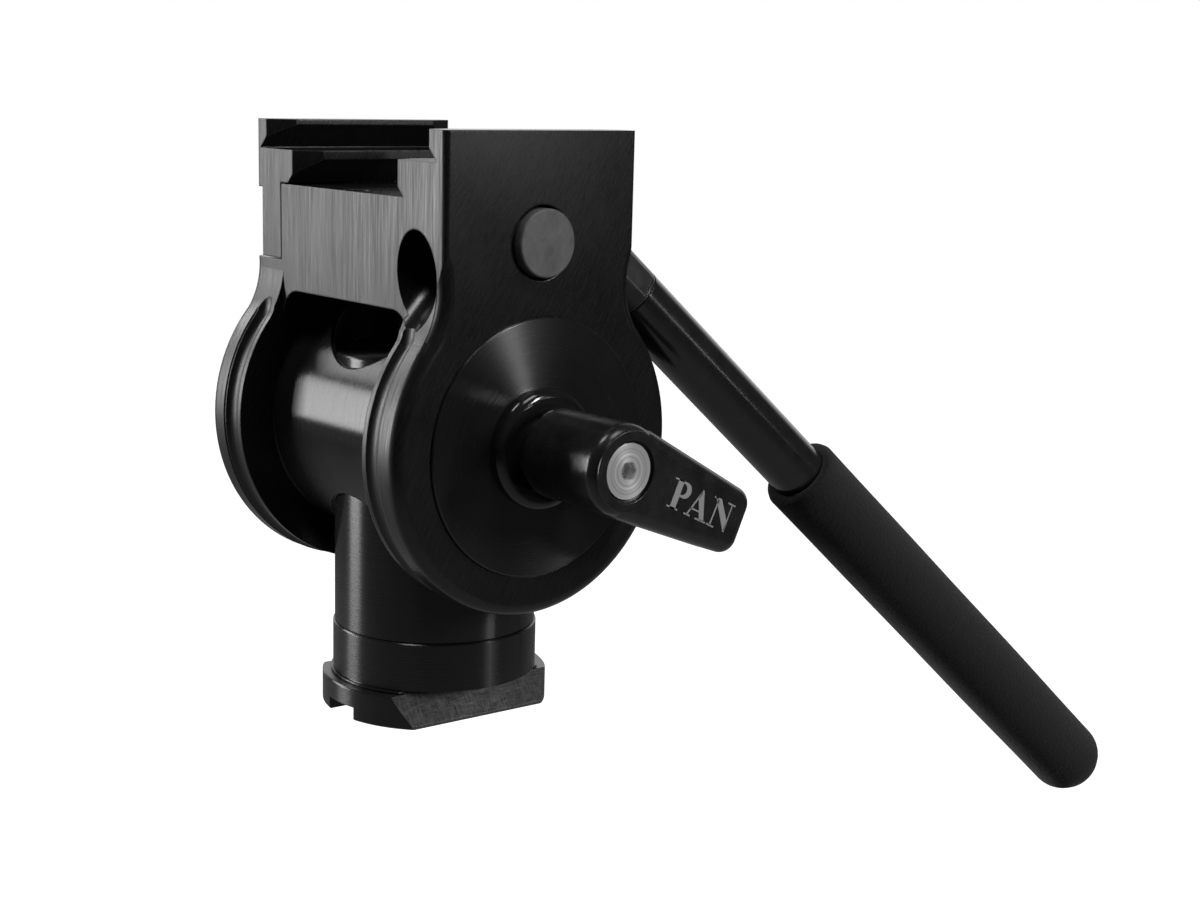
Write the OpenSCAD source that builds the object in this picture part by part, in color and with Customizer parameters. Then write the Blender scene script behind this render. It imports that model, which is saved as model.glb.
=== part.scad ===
// Pan head for a small camera: a yoke that tilts on a cross barrel, which pans round an upright post.
// All sizes are in millimetres. +X is the tilt axis towards the pan lever, -Y is the front, +Z is up.
// The origin is on the pan axis, at the underside of the foot.

/* [Axes] */
// Height of the tilt axis above the underside of the foot
axis_height = 54.6; // [52:0.1:62]
// Turn of the foot under the head, in degrees
foot_turn = -3.5; // [-45:0.5:45]

/* [Yoke] */
// Width over both cheeks
yoke_w = 62.6; // [61:0.1:66]
// Thickness of a cheek
cheek_t = 10.5; // [9.8:0.1:11.5]
// Diameter of the round end of a cheek
disc_d = 62.3; // [60:0.1:64]
// Depth of the yoke from front to back
yoke_depth = 42.3; // [40:0.1:44]
// Gap between the barrel and the bridge over it
window_gap = 1.2; // [1:0.1:2.2]
// Height of the bridge from its underside to the narrow slot's floor
bridge_h = 19.8; // [19.4:0.1:22]
// Corner radius of the opening under the bridge
window_r = 5; // [3:0.5:7]
// Radius of the neck that joins the disc to the upright
neck_r = 15; // [12:0.5:18]
// Rounding along the rims and necks of the cheeks
edge_r = 2.2; // [1.5:0.1:2.6]
// Rounding of the upright corner at the near front
near_corner_r = 1.1; // [0.5:0.1:2]
// Rounding of the other upright corners
corner_r = 0.5; // [0.3:0.1:1]
// Small break on the sharp edges
edge_break = 0.25; // [0.15:0.05:0.4]

/* [Rim groove] */
// Section radius of the cove round the rim
cove_r = 2.6; // [2:0.1:3]
// Depth of the cove
cove_depth = 1.2; // [0.8:0.1:1.5]
// Distance from the cheek's inner face to the middle of the cove
cove_inset = 3; // [2.8:0.1:3.4]
// Radius of the sweep where the cove runs out
cove_runout_r = 2.9; // [2.7:0.1:5]
// Step down of the thin lip on the inner side of the cove
lip_step = 0.45; // [0.2:0.05:0.8]
// Step down of the thin land on the outer side of the cove
land_step = 0.2; // [0.1:0.05:0.5]
// Width of that land
land_w = 0.3; // [0.2:0.05:0.6]

/* [Plate slots] */
// Thickness of the yoke's wall beside the wide slot's foot
wide_wall = 2.4; // [1.8:0.1:3.3]
// Width of the ledge between the feet of the two slots
narrow_ledge = 9.85; // [9:0.05:10.5]
// Height of the narrow slot's slanted flank
narrow_flank = 4.55; // [4:0.05:5]
// Height from the narrow slot's floor to the wide slot's floor
narrow_depth = 6.4; // [6:0.1:7]
// Depth of the wide slot below the yoke's top
wide_depth = 5.5; // [5.2:0.1:9]
// Height of the wide slot's slanted flank
wide_flank = 4.5; // [4:0.1:5]
// Length of the flared entry at each end of the narrow slot
narrow_entry_len = 5; // [3:0.1:8]
// How far the entry of the narrow slot opens on each side
narrow_entry_w = 2.8; // [1:0.1:3.5]
// Length of the flared entry at each end of the wide slot
wide_entry_len = 5.2; // [3:0.1:8]
// How far the entry of the wide slot opens on each side
wide_entry_w = 2.2; // [1:0.1:2.5]
// Diameter of the blind pin hole in the narrow slot's floor
pin_hole_d = 4.8; // [3:0.1:6]
// Depth of that hole
pin_hole_depth = 3; // [1:0.1:3.5]
// Distance from the front face to the middle of that hole
pin_hole_inset = 2.8; // [2.8:0.1:6]

/* [Jaw] */
// Thickness of the jaw's leg
jaw_leg_t = 6.6; // [6:0.1:7]
// Width of the jaw's head beyond its leg
jaw_step = 1.35; // [0.8:0.05:1.8]
// Height of the narrow slot's floor above the jaw's step
jaw_step_drop = 0.95; // [0.8:0.05:2]
// Height of the notch's floor above the bridge's underside
notch_floor_h = 5.5; // [4.5:0.1:6.5]
// Gap between the jaw and the yoke
jaw_gap = 0.25; // [0.15:0.05:0.4]
// Distance from the far cheek's inner face out to the jaw
jaw_inset = 0.8; // [0.6:0.1:1]
// How far the jaw opens
jaw_travel = 1.7; // [1:0.1:1.7]

/* [Release button] */
// Diameter of the button
button_d = 12.2; // [10:0.1:12.4]
// Diameter of the hole round the button
button_hole_d = 13.4; // [12.8:0.1:14]
// How far the button stands out of the cheek
button_proud = 1.7; // [1.7:0.1:2.5]
// Length of the button's head
button_len = 6.4; // [5:0.1:6.6]
// Depth of the button's axis below the narrow slot's floor
button_drop = 7.6; // [7.3:0.1:8.3]
// Diameter of the rod from the button to the jaw
drawbar_d = 5; // [4:0.1:5.5]
// How deep the rod sits in the button and in the jaw
drawbar_seat = 4.5; // [3:0.1:5]
// Diameter of the spring's chamber
chamber_d = 10.4; // [9.8:0.1:11]
// Depth of the spring's chamber below the button's hole
chamber_len = 10.6; // [9:0.1:12]
// Outer diameter of the spring
spring_d = 9.2; // [8:0.1:9.4]
// Diameter of the spring's wire
spring_wire = 0.9; // [0.6:0.05:1.1]
// Turns of the spring
spring_turns = 5; // [3:1:6]
// Diameter of the jaw's two guide pins
guide_d = 4; // [3:0.1:4.5]
// Distance between the guide pins
guide_pitch = 26; // [22:0.5:30]
// Depth of the guide pins below the narrow slot's floor
guide_drop = 7.3; // [6.3:0.1:9]
// How deep the guide pins reach into the yoke
guide_reach = 13; // [8:0.5:16]
// How deep the guide pins sit in the jaw
guide_seat = 5.5; // [4:0.1:6]

/* [Barrel] */
// Diameter of the barrel between the cheeks
barrel_d = 46.6; // [45.8:0.1:47]
// Diameter of the journals in the cheeks
journal_d = 47.2; // [47.2:0.1:48]
// How far the barrel's ends stand out of the cheeks
barrel_proud = 0.6; // [0.2:0.1:1]
// Widening of the edge where the post's bore meets the barrel
rim_step = 0.6; // [0.3:0.05:0.9]
// Depth of that edge's step
rim_depth = 0.5; // [0.3:0.05:0.9]
// Outer diameter of the split liner rings
liner_d = 49.5; // [48.6:0.1:50.5]
// Inner diameter of the split liner rings
liner_bore_d = 45.9; // [45:0.1:46.5]
// Width of the split liner rings
liner_w = 4.9; // [4.6:0.1:5.2]
// Gap where a liner ring is split
liner_split = 3; // [1:0.5:5]

/* [Post and foot] */
// Diameter of the post
post_d = 38.74; // [38:0.02:39]
// Height of the post's top above the tilt axis
post_rise = 13.9; // [13:0.1:14.2]
// Depth of the brake groove round the post
brake_groove_depth = 1.2; // [0.8:0.1:1.6]
// Diameter of the foot's plate
foot_d = 43.5; // [42:0.1:46]
// Thickness of the foot's plate
foot_plate_t = 6.05; // [5:0.05:6.2]
// Diameter of the bead above the plate
bead_d = 40.2; // [39.6:0.1:41]
// Diameter of the low collar
collar_d = 39.4; // [39.2:0.1:40]
// Diameter of the fine grooves beside the bead
bead_groove_d = 38.8; // [38:0.1:39]
// Height of the foot from its underside to the post's seat
foot_h = 16; // [14:0.1:18]
// Width of the dovetail across its foot
dovetail_w = 32; // [30:0.1:34]
// Angle of the dovetail's flanks from the vertical
dovetail_angle = 30; // [20:1:35]
// Upright land at the dovetail's foot
dovetail_land = 0.6; // [0.3:0.1:1]
// Height of the dovetail's flanks
dovetail_h = 6.9; // [6.7:0.1:7.5]
// Width of the notch in the foot's front edge
foot_notch_w = 8.4; // [5:0.1:10]
// Depth of that notch
foot_notch_depth = 2.5; // [1:0.1:3]
// How far the notch runs in from the edge
foot_notch_len = 6; // [3:0.1:7]
// How far the notch lies off the middle
foot_notch_offset = 1; // [-2:0.1:2]
// Diameter of the central thread's minor cylinder
foot_thread_d = 7.94; // [5:0.01:9]
// Depth of the central thread
foot_thread_depth = 12; // [8:0.5:13]
// Diameter of the four screws that hold the post
foot_screw_d = 4; // [3:0.1:4.5]
// Head diameter of those screws
foot_screw_head_d = 7.6; // [6:0.1:8]
// How far their heads lie below the underside
foot_screw_recess = 0.3; // [0.1:0.1:0.6]
// Width across the corners of their sockets
foot_socket_d = 2.9; // [2.3:0.1:3.4]
// Length of those screws
foot_screw_len = 25; // [20:0.5:28]
// Distance of the screws from the pan axis
foot_screw_ring_r = 12; // [11:0.1:13]
// Diameter of the two dowels
dowel_d = 4; // [3:0.1:4.5]
// Length of the two dowels
dowel_len = 12; // [8:0.5:14]
// Distance of the dowels from the pan axis
dowel_ring_r = 13.5; // [12:0.1:14]

/* [Locks] */
// Diameter of the boss round a stud
boss_d = 22.3; // [20:0.1:24]
// Height of the boss
boss_h = 2.4; // [2:0.1:3]
// Rounding of the boss's outer edge
boss_r = 1.7; // [1:0.1:1.9]
// Diameter of the bush's shank in the barrel
bush_d = 16; // [13:0.1:18]
// Length of the tilt bush's shank
tilt_bush_len = 3.3; // [2.5:0.1:3.4]
// Diameter of a stud
stud_d = 8; // [6:0.1:8.4]
// Diameter of a stud's neck between boss and lever
neck_d = 11.6; // [10:0.1:13]
// Length of a stud's neck
neck_len = 2.1; // [1.5:0.1:3]
// Width across the corners of a stud's hexagon
hex_d = 9.2; // [8:0.1:10]
// Length of a stud's hexagon
hex_len = 9.6; // [6:0.1:11]
// Diameter of the pan shoe
shoe_d = 8.4; // [7:0.1:8.8]
// Length of the pan shoe at its middle
shoe_len = 3.83; // [3:0.05:4.5]
// Gap behind the pan shoe and round the tilt cone when locked
lock_gap = 0.35; // [0.32:0.01:0.5]
// Diameter of the tilt plungers
plunger_d = 4.4; // [3.6:0.1:4.5]
// Half angle of the tilt stud's cone
cone_angle = 25; // [20:1:28]
// Length of the tilt stud's cone
cone_len = 7; // [6:0.1:7.2]

/* [Levers] */
// Diameter of a lever's hub
hub_d = 16.2; // [14:0.1:18]
// Length of a lever's hub
hub_len = 20; // [17:0.1:22]
// Rounding at the hub's inner end
hub_inner_r = 1; // [0.5:0.1:1.5]
// Rounding of the hub's outer edge
lever_edge_r = 2.3; // [1.5:0.1:2.8]
// Rounding of the paddle's outer edges
paddle_edge_r = 2.4; // [1.6:0.1:2.8]
// Distance from the hub's axis to the middle of the paddle's round root
paddle_root_at = 3; // [2:0.1:4]
// Reach of a lever's tip from its axis
lever_reach = 31.1; // [26:0.1:32]
// Width of a lever at its tip
lever_tip_w = 12.4; // [10:0.1:14]
// Corner radius of a lever's tip
tip_corner_r = 3.2; // [2.9:0.1:4.5]
// Thickness of a lever's paddle
paddle_t = 8; // [6:0.1:9]
// How far the pan lever points below the level, in degrees
pan_lever_droop = 25.4; // [0:0.1:60]
// How far the tilt lever points below the level, in degrees
tilt_lever_droop = 30; // [0:0.1:60]
// Diameter of the recess round a lever screw's head
screw_recess_d = 10.9; // [10.2:0.1:11.5]
// Depth of that recess
screw_recess_depth = 0.5; // [0.3:0.1:0.8]
// Head diameter of a lever screw
screw_head_d = 9.85; // [9:0.05:10]
// Thread diameter of a lever screw
screw_d = 5; // [4:0.1:5.4]
// Length of a lever screw's shank
screw_len = 13; // [10:0.5:15]
// Width across the corners of a lever screw's socket
screw_socket_d = 3.46; // [2.9:0.02:4]
// Depth of a lever screw's socket
screw_socket_depth = 2.2; // [1.5:0.1:2.6]

/* [Handle] */
// Distance from the near cheek's outer face in to the handle's axis
handle_inset = 8; // [7.3:0.1:8.8]
// Height of the handle's socket above the tilt axis
handle_rise = 31; // [30.5:0.1:31.5]
// How far the handle points below the level, in degrees
handle_droop = 42.4; // [40:0.1:46]
// How far the handle splays outwards, in degrees
handle_splay = 9.5; // [6:0.1:12]
// Diameter of the handle's tube and collar
tube_d = 11.56; // [11:0.02:12]
// Depth of the handle's socket along its axis
socket_depth = 11; // [10.5:0.1:12]
// Distance along the handle to the seam between collar and tube
seam_at = 8.3; // [7.5:0.1:10]
// Width of that seam's groove
seam_w = 0.35; // [0.2:0.05:0.5]
// Diameter of the seam's groove
seam_d = 10.8; // [10:0.1:10.9]
// Distance along the handle to the tube's far end
tube_end_at = 172; // [150:0.5:172]
// Wall of the tube
tube_wall = 1.2; // [0.8:0.1:1.6]
// Diameter of the stud inside the collar
handle_stud_d = 7; // [5:0.1:7.5]
// Depth of the handle's stud in the collar
handle_stud_in = 9; // [6:0.1:10]
// Distance of the collar's two wrench flats from its axis
flat_out = 5.35; // [5:0.05:5.6]
// Direction of those flats round the handle, in degrees
flat_turn = -112.4; // [-180:0.1:0]
// Length of the plain ring between the flats and the seam
flat_margin = 0.5; // [0.3:0.1:1]
// Distance along the handle to the start of the flats
flat_from = -1; // [-2:0.1:0]
// Length of the handle's stud in the tube
handle_stud_out = 18; // [12:0.5:25]
// Length of the plug in the tube
plug_len = 8; // [5:0.5:12]
// Thickness of the plug's rim
plug_rim = 1.5; // [1:0.1:2]
// Distance along the handle to the start of the foam
grip_from = 64.3; // [50:0.1:80]
// Distance along the handle to the foam's round end
grip_to = 180.7; // [176:0.1:190]
// Outer diameter of the foam
grip_d = 16.3; // [15:0.1:18]
// Rounding of the foam's far end
grip_end_r = 7; // [5:0.1:7.4]
// Rounding of the foam's near end
grip_start_r = 1; // [0.5:0.1:1.5]

/* [Clearances] */
// Clearance on the radius between turning parts
turn_gap = 0.05; // [0.03:0.01:0.08]
// Clearance along an axis between turning parts
end_gap = 0.05; // [0.04:0.01:0.1]
// Clearance on the radius between sliding parts
slide_gap = 0.05; // [0.03:0.01:0.08]
// Clearance between the foam and the tube inside it
foam_gap = 0.05; // [0.02:0.01:0.1]
// Clearance of a screw in its hole on the radius
screw_gap = 0.2; // [0.1:0.05:0.4]

/* [Hidden] */
$fn = 96;
// Colours of the finishes
black = [0.08, 0.08, 0.085];
satin = [0.16, 0.16, 0.165];
silver = [0.75, 0.75, 0.76];
bronze = [0.62, 0.45, 0.25];
nylon = [0.8, 0.79, 0.74];
foam = [0.1, 0.1, 0.1];
// A length that clears every solid, for cutting tools
far_away = 80;
// An overlap that keeps a cut from ending on a face
past = 1;
// Small gaps that let parts that touch be made and put together
face_gap = 0.02;
hex_gap = 0.05;
hex_end_gap = 0.2;
spring_gap = 0.1;
guide_end_gap = 0.5;
socket_end_gap = 0.3;
button_end_gap = 0.3;
shoe_end_gap = 0.15;
brake_side_gap = 0.4;
cone_setback = 0.4;

// The cheeks
half_w = yoke_w / 2;
inner_x = half_w - cheek_t;
disc_r = disc_d / 2;
half_depth = yoke_depth / 2;
// The neck's fillet touches the upright's side and the disc
neck_y = half_depth + neck_r;
neck_z = sqrt(pow(disc_r + neck_r, 2) - pow(neck_y, 2));
tangent_angle = atan2(neck_z, neck_y);
upright_from = 10;
// The fillet stops this many degrees short of each tangent, where it is all but flush
neck_margin = 3;
// The fillet's wedge reaches this far inside the rounding of its edge
neck_root = 3.5;
neck_root_r = neck_r + edge_r + neck_root;
// The corner cutter leaves this small step at both ends of the neck's rounding
flare_step = 0.08;
// The neck's rounding runs on up the upright until it leaves the corner
flare_run = acos(neck_r / (neck_r + edge_r)) + neck_margin;
// The cove
cove_x = inner_x + cove_inset;
cove_ring_r = disc_r - cove_depth + cove_r;
lip_r = disc_r - lip_step;
land_r = disc_r - land_step;
land_x = cove_x + sqrt(pow(cove_r, 2) - pow(cove_ring_r - disc_r, 2)) + land_w;
runout_c = cove_ring_r + cove_runout_r;
cove_from = 180 - tangent_angle;
cove_sweep = 180 + 2 * tangent_angle;
// The plate slots, stacked on the bridge
wide_x = half_w - wide_wall;
wide_lip_x = wide_x - wide_flank;
narrow_x = wide_x - narrow_ledge;
narrow_lip_x = narrow_x - narrow_flank;
window_rise = barrel_d / 2 + window_gap;
narrow_rise = window_rise + bridge_h;
wide_rise = narrow_rise + narrow_depth;
yoke_rise = wide_rise + wide_depth;
// The jaw
notch_rise = window_rise + notch_floor_h;
jaw_inner_x = inner_x + jaw_inset;
notch_x = jaw_inner_x - jaw_gap;
jaw_leg_x = jaw_inner_x + jaw_leg_t;
jaw_head_x = jaw_leg_x + jaw_step;
jaw_foot = notch_rise + jaw_gap;
jaw_ledge = narrow_rise + jaw_gap;
jaw_step_rise = narrow_rise - jaw_step_drop;
guide_rise = narrow_rise - guide_drop;
guide_hole_d = guide_d + 2 * slide_gap;
guide_from = jaw_inner_x - guide_reach;
// The release button and its spring
button_rise = narrow_rise - button_drop;
button_out = half_w + button_proud;
button_in = button_out - button_len;
button_floor = button_in - jaw_travel - button_end_gap;
chamber_floor = button_floor - chamber_len;
drawbar_from = -(jaw_inner_x + drawbar_seat);
drawbar_to = button_in + drawbar_seat;
spring_from = chamber_floor + spring_gap;
spring_to = button_in - spring_gap;
// The barrel
barrel_r = barrel_d / 2;
journal_r = journal_d / 2;
barrel_half = half_w + barrel_proud;
cheek_bore_r = journal_r + turn_gap;
liner_x = half_w - cheek_t / 2;
liner_groove_w = liner_w + 2 * end_gap;
liner_groove_r = liner_d / 2 + slide_gap;
journal_groove_r = liner_bore_d / 2 - turn_gap;
// The post
post_r = post_d / 2;
post_bore_r = post_r + turn_gap;
brake_r = post_r - brake_groove_depth;
brake_half = shoe_d / 2 + brake_side_gap;
// The locks
bush_r = bush_d / 2;
stud_r = stud_d / 2;
stud_hole_r = stud_r + turn_gap;
shoe_r = shoe_d / 2;
shoe_back = brake_r + shoe_len;
pan_bush_from = shoe_back + shoe_end_gap + lock_gap;
stud_tip = shoe_back + lock_gap;
boss_x = barrel_half + boss_h;
hub_x = boss_x + neck_len;
face_x = hub_x + hub_len;
cone_from = barrel_half - tilt_bush_len + cone_setback;
plunger_r = plunger_d / 2;
plunger_hole_r = plunger_r + slide_gap;
cone_gap = 0.25;
// The ball nose of a plunger rests just clear of the cone
cone_r_at_plunger = stud_r - (cone_from - liner_x) * tan(cone_angle);
plunger_from = cone_r_at_plunger + (plunger_r + cone_gap) / cos(cone_angle);
// The levers
hub_r = hub_d / 2;
hex_r = hex_d / 2;
hex_end = hub_x + hex_len;
screw_head_x = face_x - screw_recess_depth;
screw_cone_h = (screw_head_d - screw_d) / 2;
screw_rim = 0.3;
// The handle
tube_r = tube_d / 2;
tube_bore_r = tube_r - tube_wall;
socket_r = tube_r + turn_gap;
collar_in = socket_depth - socket_end_gap;
tube_from = seam_at + seam_w / 2;
collar_to = seam_at - seam_w / 2;
grip_r = grip_d / 2;

// Turns a shape that stands on Z so that it lies along X, with its first axis along Y
module along_x() { rotate([90, 0, 90]) children(); }
module tilt_axis() { translate([0, 0, axis_height]) children(); }
module both_ends() {
  children();
  mirror([1, 0, 0]) children();
}
module both_faces() {
  children();
  mirror([0, 1, 0]) children();
}
// A round bar along X
module x_bar(r, from, to) {
  translate([from, 0, 0]) along_x() cylinder(r = r, h = to - from);
}
// A bar of an XZ outline along Y
module y_bar(points, from, to) {
  translate([0, to, 0]) rotate([90, 0, 0]) linear_extrude(to - from) polygon(points);
}
// A ring cut round X that leaves a core of radius r
module x_ring(r, outer, from, to) {
  along_x() rotate_extrude() translate([r, from]) square([outer - r, to - from]);
}

// The foot, with its dovetail flats, bead and collar
module foot_outline() {
  groove_h = (dovetail_h - foot_plate_t) / 3;
  polygon([
    [0, 0],
    [foot_d / 2 - edge_break, 0],
    [foot_d / 2, edge_break],
    [foot_d / 2, foot_plate_t - edge_break],
    [foot_d / 2 - edge_break, foot_plate_t],
    [bead_groove_d / 2, foot_plate_t],
    [bead_groove_d / 2, foot_plate_t + groove_h],
    [bead_d / 2, foot_plate_t + groove_h],
    [bead_d / 2, foot_plate_t + 2 * groove_h],
    [bead_groove_d / 2, foot_plate_t + 2 * groove_h],
    [bead_groove_d / 2, dovetail_h],
    [collar_d / 2, dovetail_h],
    [collar_d / 2, foot_h - edge_break],
    [collar_d / 2 - edge_break, foot_h],
    [0, foot_h]
  ]);
}
module dovetail_cut() {
  slant = (dovetail_h - dovetail_land) * tan(dovetail_angle);
  y_bar([
    [dovetail_w / 2, -past],
    [dovetail_w / 2, dovetail_land],
    [dovetail_w / 2 - slant, dovetail_h],
    [far_away, dovetail_h],
    [far_away, -past]
  ], -far_away, far_away);
}
module on_screw_ring() {
  for (a = [45:90:315]) rotate([0, 0, a]) translate([foot_screw_ring_r, 0, 0]) children();
}
module on_dowel_ring() {
  for (a = [0, 180]) rotate([0, 0, a]) translate([dowel_ring_r, 0, 0]) children();
}
module turned_foot() { rotate([0, 0, foot_turn]) children(); }
foot_screw_r = foot_screw_d / 2;
foot_screw_head_r = foot_screw_head_d / 2;
foot_screw_top = foot_screw_recess + foot_screw_len;
module foot() {
  color(black) turned_foot() difference() {
    rotate_extrude() foot_outline();
    both_ends() dovetail_cut();
    translate([foot_notch_offset - foot_notch_w / 2, -far_away, -past])
      cube([foot_notch_w, far_away - foot_d / 2 + foot_notch_len, foot_notch_depth + past]);
    translate([0, 0, -past]) cylinder(d = foot_thread_d, h = foot_thread_depth + past);
    on_screw_ring() {
      translate([0, 0, -past]) cylinder(r = foot_screw_r + screw_gap, h = foot_h + 2 * past);
      translate([0, 0, -past]) cylinder(r = foot_screw_head_r + screw_gap, h = past + foot_screw_recess);
      translate([0, 0, foot_screw_recess]) cylinder(
        r1 = foot_screw_head_r + screw_gap,
        r2 = foot_screw_r + screw_gap,
        h = foot_screw_head_r - foot_screw_r
      );
    }
    on_dowel_ring() translate([0, 0, foot_h - dowel_len / 2]) cylinder(d = dowel_d, h = dowel_len);
  }
}
module foot_screws() {
  color(silver) turned_foot() on_screw_ring() difference() {
    union() {
      translate([0, 0, foot_screw_recess]) cylinder(
        r1 = foot_screw_head_r,
        r2 = foot_screw_r,
        h = foot_screw_head_r - foot_screw_r
      );
      translate([0, 0, foot_screw_recess]) cylinder(r = foot_screw_r, h = foot_screw_len);
    }
    cylinder(d = foot_socket_d, h = foot_screw_recess + foot_screw_d / 2, $fn = 6);
  }
}
module foot_dowels() {
  color(silver) turned_foot() on_dowel_ring()
    translate([0, 0, foot_h - dowel_len / 2]) cylinder(d = dowel_d, h = dowel_len);
}

// The post, with the brake groove that the pan shoe runs in
module post() {
  post_top = axis_height + post_rise;
  color(black) difference() {
    rotate_extrude() polygon([
      [0, foot_h],
      [post_r - edge_break, foot_h],
      [post_r, foot_h + edge_break],
      [post_r, axis_height - brake_half],
      [brake_r, axis_height - brake_half],
      [brake_r, axis_height + brake_half],
      [post_r, axis_height + brake_half],
      [post_r, post_top - edge_break],
      [post_r - edge_break, post_top],
      [0, post_top]
    ]);
    turned_foot() {
      on_screw_ring() translate([0, 0, foot_h - past])
        cylinder(r = foot_screw_r, h = foot_screw_top - foot_h + 2 * past);
      on_dowel_ring() translate([0, 0, foot_h - past])
        cylinder(d = dowel_d, h = dowel_len / 2 + past);
    }
  }
}

// The barrel, from which the yoke's cheeks hang on the two journals
module barrel() {
  color(black) tilt_axis() difference() {
    union() {
      x_bar(barrel_r, -inner_x - past, inner_x + past);
      both_ends() along_x() rotate_extrude() polygon([
        [0, inner_x + end_gap],
        [journal_r, inner_x + end_gap],
        [journal_r, barrel_half - edge_break],
        [journal_r - edge_break, barrel_half],
        [0, barrel_half]
      ]);
    }
    cylinder(r = post_bore_r, h = 2 * far_away, center = true);
    difference() {
      cylinder(r = post_bore_r + rim_step, h = 2 * far_away, center = true);
      x_bar(barrel_r - rim_depth, -far_away, far_away);
    }
    both_ends() x_ring(
      journal_groove_r, far_away, liner_x - liner_groove_w / 2, liner_x + liner_groove_w / 2
    );
    x_bar(bush_r, pan_bush_from, far_away);
    x_bar(shoe_r + slide_gap, 0, far_away);
    x_bar(bush_r, -far_away, -barrel_half + tilt_bush_len);
    x_bar(stud_hole_r, -far_away, -cone_from + cone_len + past);
    translate([-liner_x, 0, 0]) cylinder(r = plunger_hole_r, h = 2 * far_away, center = true);
  }
}

// The bushes that carry the two studs
module bush(shank_len) {
  along_x() difference() {
    rotate_extrude() {
      translate([0, barrel_half - shank_len]) square([bush_r, shank_len]);
      translate([0, barrel_half]) square([boss_d / 2, boss_h - boss_r]);
      translate([0, barrel_half]) square([boss_d / 2 - boss_r, boss_h]);
      intersection() {
        translate([boss_d / 2 - boss_r, boss_x - boss_r]) circle(r = boss_r);
        translate([0, barrel_half]) square([boss_d, boss_h]);
      }
    }
    cylinder(r = stud_hole_r, h = far_away);
  }
}
module pan_bush() { color(black) tilt_axis() bush(barrel_half - pan_bush_from); }
module tilt_bush() { color(black) tilt_axis() mirror([1, 0, 0]) bush(tilt_bush_len); }

// The outer part of a stud: shank in the bush, neck, and hexagon in the lever
module stud_outer(from) {
  difference() {
    union() {
      x_bar(stud_r, from, boss_x + past);
      x_bar(neck_d / 2, boss_x + end_gap, hub_x);
      translate([hub_x - past, 0, 0]) along_x() cylinder(r = hex_r, h = hex_len + past, $fn = 6);
    }
    x_bar(screw_d / 2, screw_head_x - screw_cone_h - screw_len - past, far_away);
  }
}
module pan_stud() { color(silver) tilt_axis() stud_outer(stud_tip); }
module tilt_stud() {
  color(silver) tilt_axis() mirror([1, 0, 0]) {
    stud_outer(cone_from);
    translate([cone_from - cone_len, 0, 0]) along_x() cylinder(
      r1 = stud_r - cone_len * tan(cone_angle),
      r2 = stud_r,
      h = cone_len
    );
  }
}

// The pad between the pan stud and the post
module pan_shoe() {
  color(bronze) tilt_axis() difference() {
    x_bar(shoe_r, 0, shoe_back);
    cylinder(r = brake_r + face_gap, h = 2 * far_away, center = true);
  }
}

// The two plungers that the tilt stud's cone spreads
module tilt_plunger() {
  intersection() {
    translate([-liner_x, 0, plunger_from]) {
      sphere(r = plunger_r);
      cylinder(r = plunger_r, h = journal_r);
    }
    x_bar(liner_bore_d / 2 - face_gap, -far_away, 0);
  }
}
module tilt_plunger_up() { color(bronze) tilt_axis() tilt_plunger(); }
module tilt_plunger_down() { color(bronze) tilt_axis() mirror([0, 0, 1]) tilt_plunger(); }

// A lever: a round hub with a flat paddle on its outer part
module lever(droop) {
  tip_y = lever_reach - tip_corner_r;
  tip_z = lever_tip_w / 2 - tip_corner_r;
  difference() {
    union() {
      along_x() rotate_extrude() hub_outline();
      rotate([-droop, 0, 0]) hull() {
        translate([0, paddle_root_at, 0]) along_x() rotate_extrude($fn = 64) puck_outline(hub_r);
        for (s = [-1, 1]) translate([0, tip_y, s * tip_z])
          along_x() rotate_extrude($fn = 32) puck_outline(tip_corner_r);
      }
    }
    translate([hub_x - past, 0, 0]) along_x() cylinder(
      r = hex_r + hex_gap,
      h = hex_len + past + hex_end_gap,
      $fn = 6
    );
    x_bar(screw_d / 2 + screw_gap, hub_x, far_away);
    x_bar(screw_recess_d / 2, screw_head_x - screw_rim, far_away);
    translate([screw_head_x - screw_rim - screw_cone_h, 0, 0]) along_x() cylinder(
      r1 = screw_d / 2 + screw_gap,
      r2 = screw_head_d / 2 + screw_gap,
      h = screw_cone_h
    );
  }
}
module hub_outline() {
  translate([0, hub_x + hub_inner_r]) square([hub_r, hub_len - hub_inner_r - lever_edge_r]);
  translate([0, hub_x]) square([hub_r - hub_inner_r, hub_len]);
  translate([0, hub_x]) square([hub_r - lever_edge_r, hub_len]);
  translate([hub_r - hub_inner_r, hub_x + hub_inner_r]) circle(r = hub_inner_r);
  intersection() {
    translate([hub_r - lever_edge_r, face_x - lever_edge_r]) circle(r = lever_edge_r);
    translate([0, hub_x]) square([hub_r, hub_len]);
  }
}
// A round piece of the paddle, rounded at its outer face
module puck_outline(r) {
  translate([0, face_x - paddle_t]) square([r, paddle_t - paddle_edge_r]);
  intersection() {
    translate([r - paddle_edge_r, face_x - paddle_edge_r]) circle(r = paddle_edge_r, $fn = 32);
    translate([0, face_x - paddle_t]) square([r, paddle_t]);
  }
  translate([0, face_x - paddle_t]) square([r - paddle_edge_r, paddle_t]);
}
module lever_screw() {
  difference() {
    union() {
      x_bar(screw_head_d / 2, screw_head_x - screw_rim, screw_head_x);
      translate([screw_head_x - screw_rim - screw_cone_h, 0, 0]) along_x() cylinder(
        r1 = screw_d / 2,
        r2 = screw_head_d / 2,
        h = screw_cone_h
      );
      x_bar(screw_d / 2, screw_head_x - screw_cone_h - screw_len, screw_head_x - screw_rim);
    }
    translate([screw_head_x - screw_socket_depth, 0, 0]) along_x()
      cylinder(d = screw_socket_d, h = far_away, $fn = 6);
  }
}
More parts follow.
